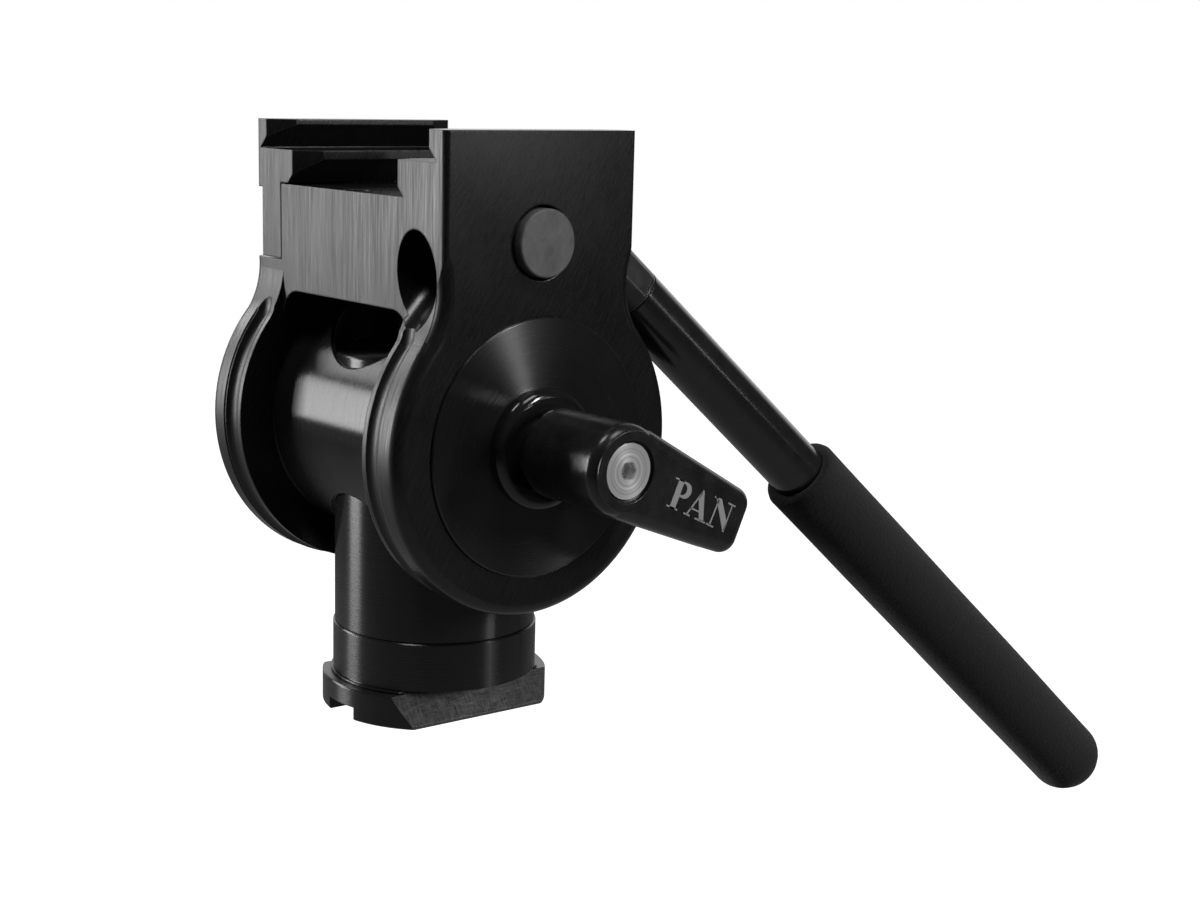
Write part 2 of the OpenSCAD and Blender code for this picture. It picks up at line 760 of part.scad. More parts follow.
module pan_lever() { color(black) tilt_axis() lever(pan_lever_droop); }
module pan_lever_screw() { color(silver) tilt_axis() lever_screw(); }
module tilt_lever() { color(black) tilt_axis() mirror([1, 0, 0]) lever(tilt_lever_droop); }
module tilt_lever_screw() { color(silver) tilt_axis() mirror([1, 0, 0]) lever_screw(); }

// The yoke: two cheeks and a bridge from one block
module cheek_disc() {
  along_x() rotate_extrude() {
    translate([0, inner_x]) square([disc_r, cheek_t - edge_r]);
    translate([0, inner_x]) square([disc_r - edge_r, cheek_t]);
    translate([disc_r - edge_r, half_w - edge_r]) circle(r = edge_r);
  }
}
module corner_cut(r, h) {
  linear_extrude(h) difference() {
    translate([-r, -r]) square(r + past);
    translate([-r, -r]) circle(r = r);
  }
}
module upright() {
  h = yoke_rise - upright_from;
  difference() {
    translate([-half_w, -half_depth, upright_from]) cube([yoke_w, yoke_depth, h]);
    translate([half_w, -half_depth, upright_from - past]) mirror([0, 1, 0])
      corner_cut(near_corner_r, h + 2 * past);
    translate([half_w, half_depth, upright_from - past]) corner_cut(corner_r, h + 2 * past);
    both_faces() translate([-half_w, half_depth, upright_from - past]) mirror([1, 0, 0])
      corner_cut(corner_r, h + 2 * past);
  }
}
// The wedge between disc and upright, hollowed by the neck's radius
module neck_fill() {
  difference() {
    translate([inner_x, neck_y, neck_z]) along_x() linear_extrude(cheek_t) polygon([
      [0, 0],
      neck_root_r * [-cos(neck_margin), -sin(neck_margin)],
      neck_root_r * [-cos(tangent_angle - neck_margin), -sin(tangent_angle - neck_margin)]
    ]);
    translate([inner_x - past, neck_y, neck_z]) along_x() cylinder(r = neck_r, h = cheek_t + 2 * past);
  }
}
// The rounding along the neck's edge, which fades out on the upright above it
module flare_cut() {
  along_x() translate([neck_y, neck_z, 0]) rotate([0, 0, 180 - flare_run])
    rotate_extrude(angle = flare_run + tangent_angle) difference() {
      translate([neck_r - past, half_w - edge_r]) square([edge_r + past, edge_r + past]);
      translate([neck_r + edge_r, half_w - edge_r]) circle(r = edge_r - flare_step);
    }
}
// The cove round the rim, with its lip and land, measured outwards from the disc's centre
module cove_section() {
  intersection() {
    union() {
      translate([cove_ring_r, cove_x]) circle(r = cove_r);
      translate([lip_r, inner_x - past]) square([cove_ring_r, cove_inset]);
      translate([land_r, cove_x]) square([cove_ring_r, land_x - cove_x]);
    }
    translate([0, inner_x - past]) square([runout_c, cheek_t]);
  }
}
// Past each tangent the same section swings away from the rim about a centre outside it
module runout_section() {
  intersection() {
    translate([runout_c, 0]) mirror([1, 0]) cove_section();
    square([runout_c, half_w]);
  }
}
module cove_cut() {
  along_x() rotate([0, 0, cove_from]) rotate_extrude(angle = cove_sweep) cove_section();
  both_faces() along_x() rotate([0, 0, tangent_angle]) translate([runout_c, 0, 0])
    rotate([0, 0, 90]) rotate_extrude(angle = 90) runout_section();
}
// The two slots and everything above the jaw's seat
module slots_cut() {
  y_bar([
    [-far_away, narrow_rise],
    [narrow_x, narrow_rise],
    [narrow_lip_x, narrow_rise + narrow_flank],
    [narrow_lip_x, wide_rise],
    [wide_x, wide_rise],
    [wide_lip_x, wide_rise + wide_flank],
    [wide_lip_x, yoke_rise + past],
    [-far_away, yoke_rise + past]
  ], -far_away, far_away);
}
// The flared entries, which cut the slots' lips back at both ends
module entries_cut() {
  both_faces() {
    translate([0, 0, narrow_rise]) linear_extrude(narrow_depth + past) polygon([
      [narrow_lip_x - past, half_depth - narrow_entry_len],
      [narrow_lip_x, half_depth - narrow_entry_len],
      [narrow_lip_x + narrow_entry_w, half_depth],
      [narrow_lip_x + narrow_entry_w, half_depth + past],
      [narrow_lip_x - past, half_depth + past]
    ]);
    translate([0, 0, wide_rise]) linear_extrude(yoke_rise - wide_rise + past) polygon([
      [wide_lip_x - past, half_depth - wide_entry_len],
      [wide_lip_x, half_depth - wide_entry_len],
      [wide_lip_x + wide_entry_w, half_depth],
      [wide_lip_x + wide_entry_w, half_depth + past],
      [wide_lip_x - past, half_depth + past]
    ]);
  }
}
// Places its children on the handle's axis, with +Z along the handle
module handle_axis() {
  translate([half_w - handle_inset, half_depth, handle_rise])
    rotate([0, 90 + handle_droop, 90 - handle_splay]) children();
}
module window_cut() {
  translate([-inner_x, -far_away, -far_away])
    cube([2 * inner_x, 2 * far_away, far_away + window_rise - window_r]);
  translate([-inner_x + window_r, -far_away, 0])
    cube([2 * (inner_x - window_r), 2 * far_away, window_rise]);
  both_ends() translate([inner_x - window_r, far_away, window_rise - window_r])
    rotate([90, 0, 0]) cylinder(r = window_r, h = 2 * far_away);
}
module guide_places() {
  for (s = [-1, 1]) translate([0, s * guide_pitch / 2, guide_rise]) children();
}
module yoke() {
  color(black) tilt_axis() difference() {
    union() {
      both_ends() cheek_disc();
      difference() {
        union() {
          upright();
          both_ends() both_faces() neck_fill();
        }
        both_ends() both_faces() flare_cut();
      }
    }
    window_cut();
    x_bar(cheek_bore_r, -far_away, far_away);
    both_ends() x_bar(liner_groove_r, liner_x - liner_groove_w / 2, liner_x + liner_groove_w / 2);
    both_ends() cove_cut();
    slots_cut();
    entries_cut();
    translate([-far_away, -far_away, notch_rise])
      cube([far_away - notch_x, 2 * far_away, far_away]);
    both_faces() handle_axis() translate([0, 0, -socket_depth]) cylinder(r = socket_r, h = socket_depth + neck_r);
    translate([0, 0, button_rise]) {
      x_bar(button_hole_d / 2, button_floor, far_away);
      x_bar(chamber_d / 2, chamber_floor, button_floor + past);
      x_bar(drawbar_d / 2 + slide_gap, -far_away, chamber_floor + past);
    }
    guide_places() x_bar(guide_hole_d / 2, -far_away, -guide_from + guide_end_gap);
    translate([0, -half_depth + pin_hole_inset, narrow_rise - pin_hole_depth])
      cylinder(d = pin_hole_d, h = pin_hole_depth + past);
  }
}

// A split ring that seats in the cheek and runs in the journal's groove
module liner() {
  difference() {
    x_ring(liner_bore_d / 2, liner_d / 2, liner_x - liner_w / 2, liner_x + liner_w / 2);
    translate([0, 0, -liner_split / 2]) cube([far_away, far_away, liner_split]);
  }
}
module tilt_liner_near() { color(nylon) tilt_axis() liner(); }
module tilt_liner_far() { color(nylon) tilt_axis() mirror([1, 0, 0]) liner(); }

// The jaw, which carries the far side of both slots
module jaw() {
  color(black) tilt_axis() difference() {
    y_bar([
      [-jaw_inner_x, jaw_foot],
      [-jaw_inner_x, jaw_ledge],
      [-narrow_x, jaw_ledge],
      [-narrow_lip_x, jaw_ledge + narrow_x - narrow_lip_x],
      [-narrow_lip_x, wide_rise],
      [-wide_x, wide_rise],
      [-wide_lip_x, wide_rise + wide_flank],
      [-wide_lip_x, yoke_rise],
      [-jaw_head_x, yoke_rise],
      [-jaw_head_x, jaw_step_rise],
      [-jaw_leg_x, jaw_step_rise],
      [-jaw_leg_x, jaw_foot]
    ], -half_depth, half_depth);
    mirror([1, 0, 0]) entries_cut();
    translate([0, 0, button_rise]) x_bar(drawbar_d / 2, drawbar_from, 0);
    guide_places() x_bar(guide_d / 2, -jaw_inner_x - guide_seat, 0);
  }
}
module jaw_guides() {
  color(silver) tilt_axis() guide_places() x_bar(guide_d / 2, -jaw_inner_x - guide_seat, -guide_from);
}
module drawbar() {
  color(silver) tilt_axis() translate([0, 0, button_rise]) x_bar(drawbar_d / 2, drawbar_from, drawbar_to);
}
module quick_release_button() {
  color(satin) tilt_axis() translate([0, 0, button_rise]) difference() {
    along_x() rotate_extrude() polygon([
      [0, button_in],
      [button_d / 2, button_in],
      [button_d / 2, button_out - edge_break],
      [button_d / 2 - edge_break, button_out],
      [0, button_out]
    ]);
    x_bar(drawbar_d / 2, button_in - past, drawbar_to);
  }
}

// The spring under the button: one round wire, wound by formula
spring_steps = 18;
spring_sides = 6;
coil_r = (spring_d - spring_wire) / 2;
function coil_point(t) = [
  coil_r * cos(360 * t),
  coil_r * sin(360 * t),
  spring_from + spring_wire / 2 + (spring_to - spring_from - spring_wire) * t / spring_turns
];
function wire_point(t, a) = coil_point(t) + spring_wire / 2 * (
  cos(a) * [cos(360 * t), sin(360 * t), 0] + sin(a) * [0, 0, 1]
);
module button_spring() {
  rings = spring_turns * spring_steps;
  points = [
    for (i = [0:rings]) for (j = [0:spring_sides - 1])
      wire_point(i / spring_steps, 360 * j / spring_sides)
  ];
  walls = [
    for (i = [0:rings - 1]) for (j = [0:spring_sides - 1]) let (
      a = i * spring_sides + j,
      b = i * spring_sides + (j + 1) % spring_sides
    ) each [[a, b, b + spring_sides], [a, b + spring_sides, a + spring_sides]]
  ];
  caps = [
    for (j = [1:spring_sides - 2]) each [
      [0, j + 1, j],
      [rings * spring_sides, rings * spring_sides + j, rings * spring_sides + j + 1]
    ]
  ];
  color(silver) tilt_axis() translate([0, 0, button_rise]) along_x()
    polyhedron(points, concat(walls, caps));
}

// The handle
module handle_collar() {
  color(black) tilt_axis() handle_axis() difference() {
    translate([0, 0, -collar_in]) cylinder(r = tube_r, h = collar_in + collar_to);
    translate([0, 0, collar_to - handle_stud_in]) cylinder(d = handle_stud_d, h = far_away);
    for (a = [0, 180]) rotate([0, 0, flat_turn + a]) translate([flat_out, -tube_r, flat_from])
      cube([tube_r, tube_d, collar_to - flat_margin - flat_from]);
  }
}
module handle_stud() {
  color(silver) tilt_axis() handle_axis() {
    translate([0, 0, collar_to - handle_stud_in]) cylinder(d = handle_stud_d, h = handle_stud_in + seam_w / 2);
    translate([0, 0, collar_to]) cylinder(d = seam_d, h = seam_w);
    translate([0, 0, collar_to]) cylinder(r = tube_bore_r, h = seam_w + handle_stud_out);
  }
}
module handle_tube() {
  color(satin) tilt_axis() handle_axis() translate([0, 0, tube_from]) difference() {
    cylinder(r = tube_r, h = tube_end_at - tube_from);
    translate([0, 0, -past]) cylinder(r = tube_bore_r, h = tube_end_at);
  }
}
module handle_plug() {
  color(black) tilt_axis() handle_axis() {
    translate([0, 0, tube_end_at - plug_len]) cylinder(r = tube_bore_r, h = plug_len + plug_rim);
    translate([0, 0, tube_end_at]) cylinder(r = tube_r, h = plug_rim);
  }
}
module grip() {
  pocket = tube_end_at + plug_rim + foam_gap;
  color(foam) tilt_axis() handle_axis() difference() {
    rotate_extrude() {
      translate([0, grip_from + grip_start_r]) square([grip_r, grip_to - grip_end_r - grip_from - grip_start_r]);
      translate([0, grip_from]) square([grip_r - grip_start_r, grip_to - grip_end_r - grip_from]);
      translate([grip_r - grip_start_r, grip_from + grip_start_r]) circle(r = grip_start_r);
      translate([0, grip_to - grip_end_r]) square([grip_r - grip_end_r, grip_end_r]);
      intersection() {
        translate([grip_r - grip_end_r, grip_to - grip_end_r]) circle(r = grip_end_r);
        translate([0, grip_from]) square([grip_r, grip_to - grip_from]);
      }
    }
    cylinder(r = tube_r + foam_gap, h = pocket);
  }
}

foot();
foot_screws();
foot_dowels();
post();
barrel();
pan_bush();
tilt_bush();
pan_stud();
pan_lever();
pan_lever_screw();
pan_shoe();
tilt_stud();
tilt_lever();
tilt_lever_screw();
tilt_plunger_up();
tilt_plunger_down();
yoke();
tilt_liner_near();
tilt_liner_far();
button_spring();
handle_collar();
handle_stud();
handle_tube();
handle_plug();
grip();
jaw();
jaw_guides();
drawbar();
quick_release_button();
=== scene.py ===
# %% [markdown]
# # A pan head for a small camera
#
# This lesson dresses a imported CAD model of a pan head: a black anodised yoke that tilts on a cross
# barrel, a post on a dovetail foot, two lock levers and a foam-gripped handle. The CAD nodes keep
# their shape and get their finishes here. What CAD leaves plain, the foam and the lever's word, is
# modelled in this file.

import math

import bmesh
import bpy
from mathutils import Matrix, Vector


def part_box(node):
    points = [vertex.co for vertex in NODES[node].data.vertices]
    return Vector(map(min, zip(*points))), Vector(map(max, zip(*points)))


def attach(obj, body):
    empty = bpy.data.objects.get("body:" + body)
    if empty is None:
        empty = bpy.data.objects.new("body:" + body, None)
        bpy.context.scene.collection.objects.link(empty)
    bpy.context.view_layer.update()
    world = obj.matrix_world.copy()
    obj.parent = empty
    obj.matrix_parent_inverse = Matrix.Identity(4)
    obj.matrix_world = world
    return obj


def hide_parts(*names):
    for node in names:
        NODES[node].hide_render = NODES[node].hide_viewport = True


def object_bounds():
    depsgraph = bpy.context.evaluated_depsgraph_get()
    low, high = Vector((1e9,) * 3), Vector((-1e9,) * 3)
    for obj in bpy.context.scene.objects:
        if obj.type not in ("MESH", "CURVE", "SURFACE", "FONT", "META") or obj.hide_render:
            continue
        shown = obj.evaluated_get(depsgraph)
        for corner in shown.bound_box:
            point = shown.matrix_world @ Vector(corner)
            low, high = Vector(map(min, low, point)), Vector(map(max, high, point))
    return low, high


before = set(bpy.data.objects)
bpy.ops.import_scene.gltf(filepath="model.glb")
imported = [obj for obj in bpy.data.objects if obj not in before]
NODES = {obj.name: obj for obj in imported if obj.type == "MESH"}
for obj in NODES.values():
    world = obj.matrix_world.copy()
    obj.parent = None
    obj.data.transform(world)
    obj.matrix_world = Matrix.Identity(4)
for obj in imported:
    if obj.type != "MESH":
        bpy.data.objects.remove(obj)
CAD_BOX = [list(corner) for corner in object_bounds()]
MM = 0.001


def in_mm(box):
    return [[round(value / MM, 1) for value in corner] for corner in box]


print("box in mm:", in_mm(CAD_BOX))

# %% [markdown]
# Several pieces are placed on two axes. The tilt axis is the middle of the pan lever's screw. It
# could be typed in as a number, but then it would be wrong after any change to the CAD model, so
# it is measured on that node. The handle leaves the back of the near cheek, drops by 42.4 degrees
# and splays out by 9.5, as in the CAD model's own source.

# %% The two axes that later pieces are placed on
screw_low, screw_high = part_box("pan_lever_screw")
AXIS_HEIGHT = (screw_low.z + screw_high.z) / 2
LEVER_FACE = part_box("pan_lever")[1].x
HANDLE_DROOP = math.radians(42.4)
HANDLE_SPLAY = math.radians(9.5)
HANDLE_ROOT = Vector((23.3 * MM, 21.15 * MM, AXIS_HEIGHT + 31 * MM))
HANDLE_WAY = Vector((
    math.sin(HANDLE_SPLAY) * math.cos(HANDLE_DROOP),
    math.cos(HANDLE_SPLAY) * math.cos(HANDLE_DROOP),
    -math.sin(HANDLE_DROOP),
))
print("tilt axis at", round(AXIS_HEIGHT / MM, 2), "mm")
print("lever face at", round(LEVER_FACE / MM, 2), "mm")

# %% [markdown]
# The camera stands where the picture was taken from. Its place, angles and lens were found by
# fitting the rims of the two discs and the edges of the yoke. A camera can be aimed with a
# tracking constraint, but that leaves out the slight roll, so one matrix sets it: its columns are
# the picture's right, the picture's up, and the way back to the camera.

# %% Camera at the photograph's viewing angle
AZIMUTH = math.radians(49.3744)
ELEVATION = math.radians(11.0989)
ROLL = math.radians(1.5203)
CAMERA_PLACE = (0.291061, -0.208285, 0.119801)

back = Vector((
    math.sin(AZIMUTH) * math.cos(ELEVATION),
    -math.cos(AZIMUTH) * math.cos(ELEVATION),
    math.sin(ELEVATION),
))
level_right = Vector((math.cos(AZIMUTH), math.sin(AZIMUTH), 0))
level_up = back.cross(level_right)
right = math.cos(ROLL) * level_right + math.sin(ROLL) * level_up
up = math.cos(ROLL) * level_up - math.sin(ROLL) * level_right

camera_data = bpy.data.cameras.new("photo_camera")
camera_data.sensor_width = 36
camera_data.lens = 56.7285
camera_data.clip_start = 0.01
camera_data.clip_end = 50
camera = bpy.data.objects.new("photo_camera", camera_data)
bpy.context.scene.collection.objects.link(camera)
camera_turn = Matrix((right, up, back)).transposed().to_4x4()
camera.matrix_world = Matrix.Translation(CAMERA_PLACE) @ camera_turn
bpy.context.scene.camera = camera
print("camera", round(camera.location.length, 3), "m from the foot, lens", camera_data.lens, "mm")

# %% [markdown]
# ## Shader nodes in few words
#
# All colour and gloss below comes from trees of shader nodes. Blender takes several lines to add
# one node, fill its inputs and link it. These helpers each add one node, set or link its inputs,
# and hand back the socket that the next node reads, so that a tree can be read like a sum.

# %% Helpers that add one shader node each
WHITE = (1, 1, 1, 1)


def add_node(tree, kind, inputs=None, **settings):
    node = tree.nodes.new(kind)
    for name, value in settings.items():
        setattr(node, name, value)
    for name, value in (inputs or {}).items():
        if isinstance(value, bpy.types.NodeSocket):
            tree.links.new(value, node.inputs[name])
        else:
            node.inputs[name].default_value = value
    return node


def calculate(tree, operation, *values):
    inputs = dict(enumerate(values))
    return add_node(tree, "ShaderNodeMath", inputs, operation=operation).outputs[0]


def calculate_vector(tree, operation, first, second=None):
    inputs = {0: first}
    if second is not None:
        inputs["Scale" if operation == "SCALE" else 1] = second
    node = add_node(tree, "ShaderNodeVectorMath", inputs, operation=operation)
    return node.outputs["Value" if operation in ("DOT_PRODUCT", "LENGTH") else "Vector"]


def remap(tree, value, span, result=(0, 1)):
    inputs = {"Value": value, "From Min": span[0], "From Max": span[1]}
    inputs.update({"To Min": result[0], "To Max": result[1]})
    return add_node(tree, "ShaderNodeMapRange", inputs).outputs["Result"]


def spread(tree, value, low, high):
    return remap(tree, value, (0, 1), (low, high))


def noise(tree, vector, scale, detail, roughness=0.5):
    inputs = {"Vector": vector, "Scale": scale, "Detail": detail, "Roughness": roughness}
    return add_node(tree, "ShaderNodeTexNoise", inputs).outputs["Fac"]


print("node helpers are ready")

# %% [markdown]
# ## The studio
#
# The picture has a white ground, and the head is black. A white room would give that ground, but
# its light would also turn the black metal grey. So the world is white where the camera looks at
# it, and dim for the light it sheds. Metal that mirrors the part of the room behind the head sees
# the white too, as it would see a paper backdrop.

# %% World: white to the eye, dim as a lamp
ROOM_LIGHT = 0.03
BACKDROP_SPAN = (0.55, 0.8)

world = bpy.data.worlds.new("studio")
bpy.context.scene.world = world
world.use_nodes = True
tree = world.node_tree
tree.nodes.clear()
path = add_node(tree, "ShaderNodeLightPath").outputs
ray_way = add_node(tree, "ShaderNodeTexCoord").outputs["Generated"]
backdrop = remap(tree, calculate_vector(tree, "DOT_PRODUCT", ray_way, -back), BACKDROP_SPAN)
mirrored = calculate(tree, "MULTIPLY", path["Is Glossy Ray"], backdrop)
clear = calculate(tree, "MAXIMUM", path["Is Camera Ray"], path["Is Transmission Ray"])
white = calculate(tree, "MAXIMUM", clear, mirrored)
strength = spread(tree, white, ROOM_LIGHT, 1)
sky = add_node(tree, "ShaderNodeBackground", {"Color": WHITE, "Strength": strength})
add_node(tree, "ShaderNodeOutputWorld", {"Surface": sky.outputs[0]})
print("world:", len(tree.nodes), "nodes")

# %% [markdown]
# The floor is a round sheet, wide enough to reach the picture's edges from any side. The head could
# stand right on it, but its handle swings below the foot and would cut through. So the floor lies
# lower than the farthest corner that the handle can reach.

# %% Floor below the handle's swing
HANDLE_REACH = math.hypot(CAD_BOX[1][1], AXIS_HEIGHT - CAD_BOX[0][2])
FLOOR_GAP = 12 * MM
FLOOR_HEIGHT = AXIS_HEIGHT - HANDLE_REACH - FLOOR_GAP
FLOOR_R = 6

floor_bm = bmesh.new()
floor_place = Matrix.Translation((0, 0, FLOOR_HEIGHT))
bmesh.ops.create_circle(floor_bm, cap_ends=True, radius=FLOOR_R, segments=64, matrix=floor_place)
floor_mesh = bpy.data.meshes.new("floor")
floor_bm.to_mesh(floor_mesh)
floor_bm.free()
floor = bpy.data.objects.new("floor", floor_mesh)
bpy.context.scene.collection.objects.link(floor)
print("floor at", round(FLOOR_HEIGHT / MM, 1), "mm")

# %% [markdown]
# The floor is pale paper. Lamps strong enough to turn it white would wash out the head, so its
# white is mostly a glow that only the camera sees. Near the head the glow is weaker, and the plain
# paper under it can show the shadow. In the metal the paper shows only close to the head, and
# weakly, where it lights the undersides.

# %% Paper that glows for the camera and takes the shadow
SEEN_GREY, UNSEEN_GREY = 0.35, 0.08
SHADOW_SPAN, SHADOW_GLOW = (0.15, 0.35), (0.8, 1)
MIRROR_SPAN, MIRROR_GLOW = (0.25, 0.7), (0.22, 0)

paper = bpy.data.materials.new("pale_paper")
paper.use_nodes = True
tree = paper.node_tree
tree.nodes.clear()


def glowing_paper(tree, value, strength):
    inputs = {"Color": WHITE, "Strength": strength}
    glow = add_node(tree, "ShaderNodeEmission", inputs).outputs[0]
    colour = (value, value, value, 1)
    plain = add_node(tree, "ShaderNodeBsdfDiffuse", {"Color": colour}).outputs[0]
    return add_node(tree, "ShaderNodeAddShader", {0: glow, 1: plain}).outputs[0]


path = add_node(tree, "ShaderNodeLightPath").outputs
place = add_node(tree, "ShaderNodeTexCoord").outputs["Object"]
away = calculate_vector(tree, "LENGTH", place)
seen = glowing_paper(tree, SEEN_GREY, remap(tree, away, SHADOW_SPAN, SHADOW_GLOW))
mirror_glow = remap(tree, away, MIRROR_SPAN, MIRROR_GLOW)
mirror_glow = calculate(tree, "MULTIPLY", mirror_glow, path["Is Glossy Ray"])
unseen = glowing_paper(tree, UNSEEN_GREY, mirror_glow)
mixed = add_node(tree, "ShaderNodeMixShader", {0: path["Is Camera Ray"], 1: unseen, 2: seen})
add_node(tree, "ShaderNodeOutputMaterial", {"Surface": mixed.outputs[0]})
floor_mesh.materials.append(paper)
print("paper:", len(tree.nodes), "nodes")

# %% [markdown]
# Black anodised metal shows little but what it mirrors, so each lamp stands where one surface
# mirrors it. The tall left lamp makes the fronts a clear grey. The upper lamp adds to it on the
# shoulders of the yoke, and the narrow right lamp draws the bright wedge on the near disc. The top
# and high lamps give the plate slots and the rounded edges of the lever their light lines, and the
# small line lamp gives the handle's tube a thin one. Spot lamps could do this too, but area lamps
# leave soft edges.

# %% Soft lamps
LAMP_AIM = Vector((0, 0, 0.055))
LAMPS = (
    # name, way from the aim, distance, width, height (metres), power (watts)
    ("left_lamp", (-0.73, -0.685, 0.118), 1.1, 0.33, 0.473, 9),
    ("upper_lamp", (-0.85, -0.35, 0.42), 1.1, 0.3, 0.3, 2.2),
    ("right_lamp", (0.845, 0.47, 0.26), 1.2, 0.07, 0.34, 4.1),
    ("top_lamp", (0.0, -0.35, 1), 1.2, 0.3, 0.3, 3),
    ("high_lamp", (0.5, 0.15, 0.85), 1.2, 0.4, 0.4, 3),
    ("line_lamp", (0.804, 0.595, 0.04), 1.2, 0.04, 0.1, 0.07),
)


def soft_lamp(name, way, distance, width, height, power):
    data = bpy.data.lights.new(name, "AREA")
    data.shape = "RECTANGLE"
    data.size = width
    data.size_y = height
    data.energy = power
    lamp = bpy.data.objects.new(name, data)
    lamp.location = LAMP_AIM + distance * Vector(way).normalized()
    lamp.rotation_euler = Vector(way).to_track_quat("Z", "Y").to_euler()
    bpy.context.scene.collection.objects.link(lamp)
    print(name, "at", [round(value, 2) for value in lamp.location], "m,", power, "W")


for lamp_values in LAMPS:
    soft_lamp(*lamp_values)

# %% [markdown]
# ## Effects that several finishes share
#
# Machined parts carry straight lines from a brush or cutter, rings from a lathe, and a cloudy film
# from the anodising bath, and their sharp edges wear pale and catch a thin line of light. Both are
# painted as a paler edge colour, so it is partly wear and partly a painted highlight. Each effect is
# one node group, built once and placed in every material that shows it, so that a change to it
# reaches all of them.

# %% Helpers that start and finish a node group with named sockets
def new_group(name, inputs, outputs):
    group = bpy.data.node_groups.new(name, "ShaderNodeTree")
    for label, kind, value in inputs:
        socket = group.interface.new_socket(name=label, in_out="INPUT", socket_type=kind)
        if value is not None:
            socket.default_value = value
    for label, kind in outputs:
        group.interface.new_socket(name=label, in_out="OUTPUT", socket_type=kind)
    entry = group.nodes.new("NodeGroupInput")
    leave = group.nodes.new("NodeGroupOutput")
    return group, entry.outputs, leave.inputs


def finish_group(group, leave, made):
    for label, socket in made.items():
        group.links.new(socket, leave[label])
    print("group", group.name, "with", len(group.nodes), "nodes")


print("group helpers are ready")

# %% [markdown]
# A brush leaves lines that are long one way and fine across. A wave texture would space them
# evenly, which no brush does. Noise whose space is squeezed by different amounts along each axis
# stretches into uneven lines, and a second, wider noise varies how strongly they show.

# %% Brush lines
WIDE_LINES = 0.12
LINE_SPAN = (0.38, 0.74)

brush_lines, entry, leave = new_group(
    "brush_lines",
    [("Vector", "NodeSocketVector", None), ("Squeeze", "NodeSocketVector", (1, 1, 1))],
    [("Lines", "NodeSocketFloat")],
)
squeezed = calculate_vector(brush_lines, "MULTIPLY", entry["Vector"], entry["Squeeze"])
fine = noise(brush_lines, squeezed, scale=1.0, detail=3.0, roughness=0.65)
wide = noise(brush_lines, squeezed, scale=0.13, detail=2.0)
both = calculate(brush_lines, "MULTIPLY_ADD", wide, WIDE_LINES, fine)
finish_group(brush_lines, leave, {"Lines": remap(brush_lines, both, LINE_SPAN)})

# %% [markdown]
# A lathe leaves rings round its axis, on faces and on round walls alike. Noise that depends only
# on the distance from the axis and on the place along it gives both with one group: on a face the
# distance changes, and on a wall the place along the axis does.

# %% Lathe rings
WIDE_RINGS = 0.25
RING_SPAN = (0.4, 0.85)

lathe_rings, entry, leave = new_group(
    "lathe_rings",
    [
        ("Vector", "NodeSocketVector", None),
        ("Across", "NodeSocketVector", (1, 1, 0)),
        ("Along", "NodeSocketVector", (0, 0, 1)),
        ("Density", "NodeSocketFloat", 3000.0),
    ],
    [("Rings", "NodeSocketFloat")],
)
across = calculate_vector(lathe_rings, "MULTIPLY", entry["Vector"], entry["Across"])
distance = calculate_vector(lathe_rings, "LENGTH", across)
along = calculate_vector(lathe_rings, "DOT_PRODUCT", entry["Vector"], entry["Along"])
ring_place = add_node(lathe_rings, "ShaderNodeCombineXYZ", {"X": distance, "Y": along}).outputs[0]
dense = calculate_vector(lathe_rings, "SCALE", ring_place, entry["Density"])
fine = noise(lathe_rings, dense, scale=1.0, detail=2.0)
wide = noise(lathe_rings, dense, scale=0.11, detail=1.0)
both = calculate(lathe_rings, "MULTIPLY_ADD", wide, WIDE_RINGS, fine)
finish_group(lathe_rings, leave, {"Rings": remap(lathe_rings, both, RING_SPAN)})

# %% [markdown]
# The anodising bath leaves the black a little uneven, in soft clouds with fine specks. Both are
# noise, one at the scale of a centimetre and one at half a millimetre. A painted mask would show
# the same, but would need a picture file and an unwrapped mesh.

# %% Bath film
CLOUD_SPAN = (0.35, 0.68)
SPECK_SPAN = (0.35, 0.7)

bath_film, entry, leave = new_group(
    "bath_film",
    [
        ("Vector", "NodeSocketVector", None),
        ("Cloud Scale", "NodeSocketFloat", 90.0),
        ("Speck Scale", "NodeSocketFloat", 2200.0),
    ],
    [("Clouds", "NodeSocketFloat"), ("Specks", "NodeSocketFloat")],
)
cloud = noise(bath_film, entry["Vector"], entry["Cloud Scale"], detail=5.0, roughness=0.6)
speck = noise(bath_film, entry["Vector"], entry["Speck Scale"], detail=1.0)
finish_group(bath_film, leave, {
    "Clouds": remap(bath_film, cloud, CLOUD_SPAN),
    "Specks": remap(bath_film, speck, SPECK_SPAN),
})

# %% [markdown]
# A real sharp edge is slightly rounded, the finish there is thin and pale, and it catches a thin
# line of light. The CAD meshes are kept as they are, so no edge is bevelled. The Bevel shader node
# rounds only the normal, and where that leaves the flat normal there is an edge. The paler grey that
# the edges get stands for both: worn finish and a painted highlight.

# %% Thin edges: worn finish and a painted highlight
# How alike the two normals are: 1 on a flat face, less on an edge.
EDGE_SPAN = (0.98, 0.8)

thin_and_lit_edges, entry, leave = new_group(
    "thin_and_lit_edges",
    [("Radius", "NodeSocketFloat", 0.3 * MM)],
    [("Edge", "NodeSocketFloat"), ("Normal", "NodeSocketVector")],
)
bevel = add_node(thin_and_lit_edges, "ShaderNodeBevel", {"Radius": entry["Radius"]}, samples=6)
rounded = bevel.outputs[0]
flat = add_node(thin_and_lit_edges, "ShaderNodeNewGeometry").outputs["Normal"]
alike = calculate_vector(thin_and_lit_edges, "DOT_PRODUCT", rounded, flat)
edge = remap(thin_and_lit_edges, alike, EDGE_SPAN)
finish_group(thin_and_lit_edges, leave, {"Edge": edge, "Normal": rounded})

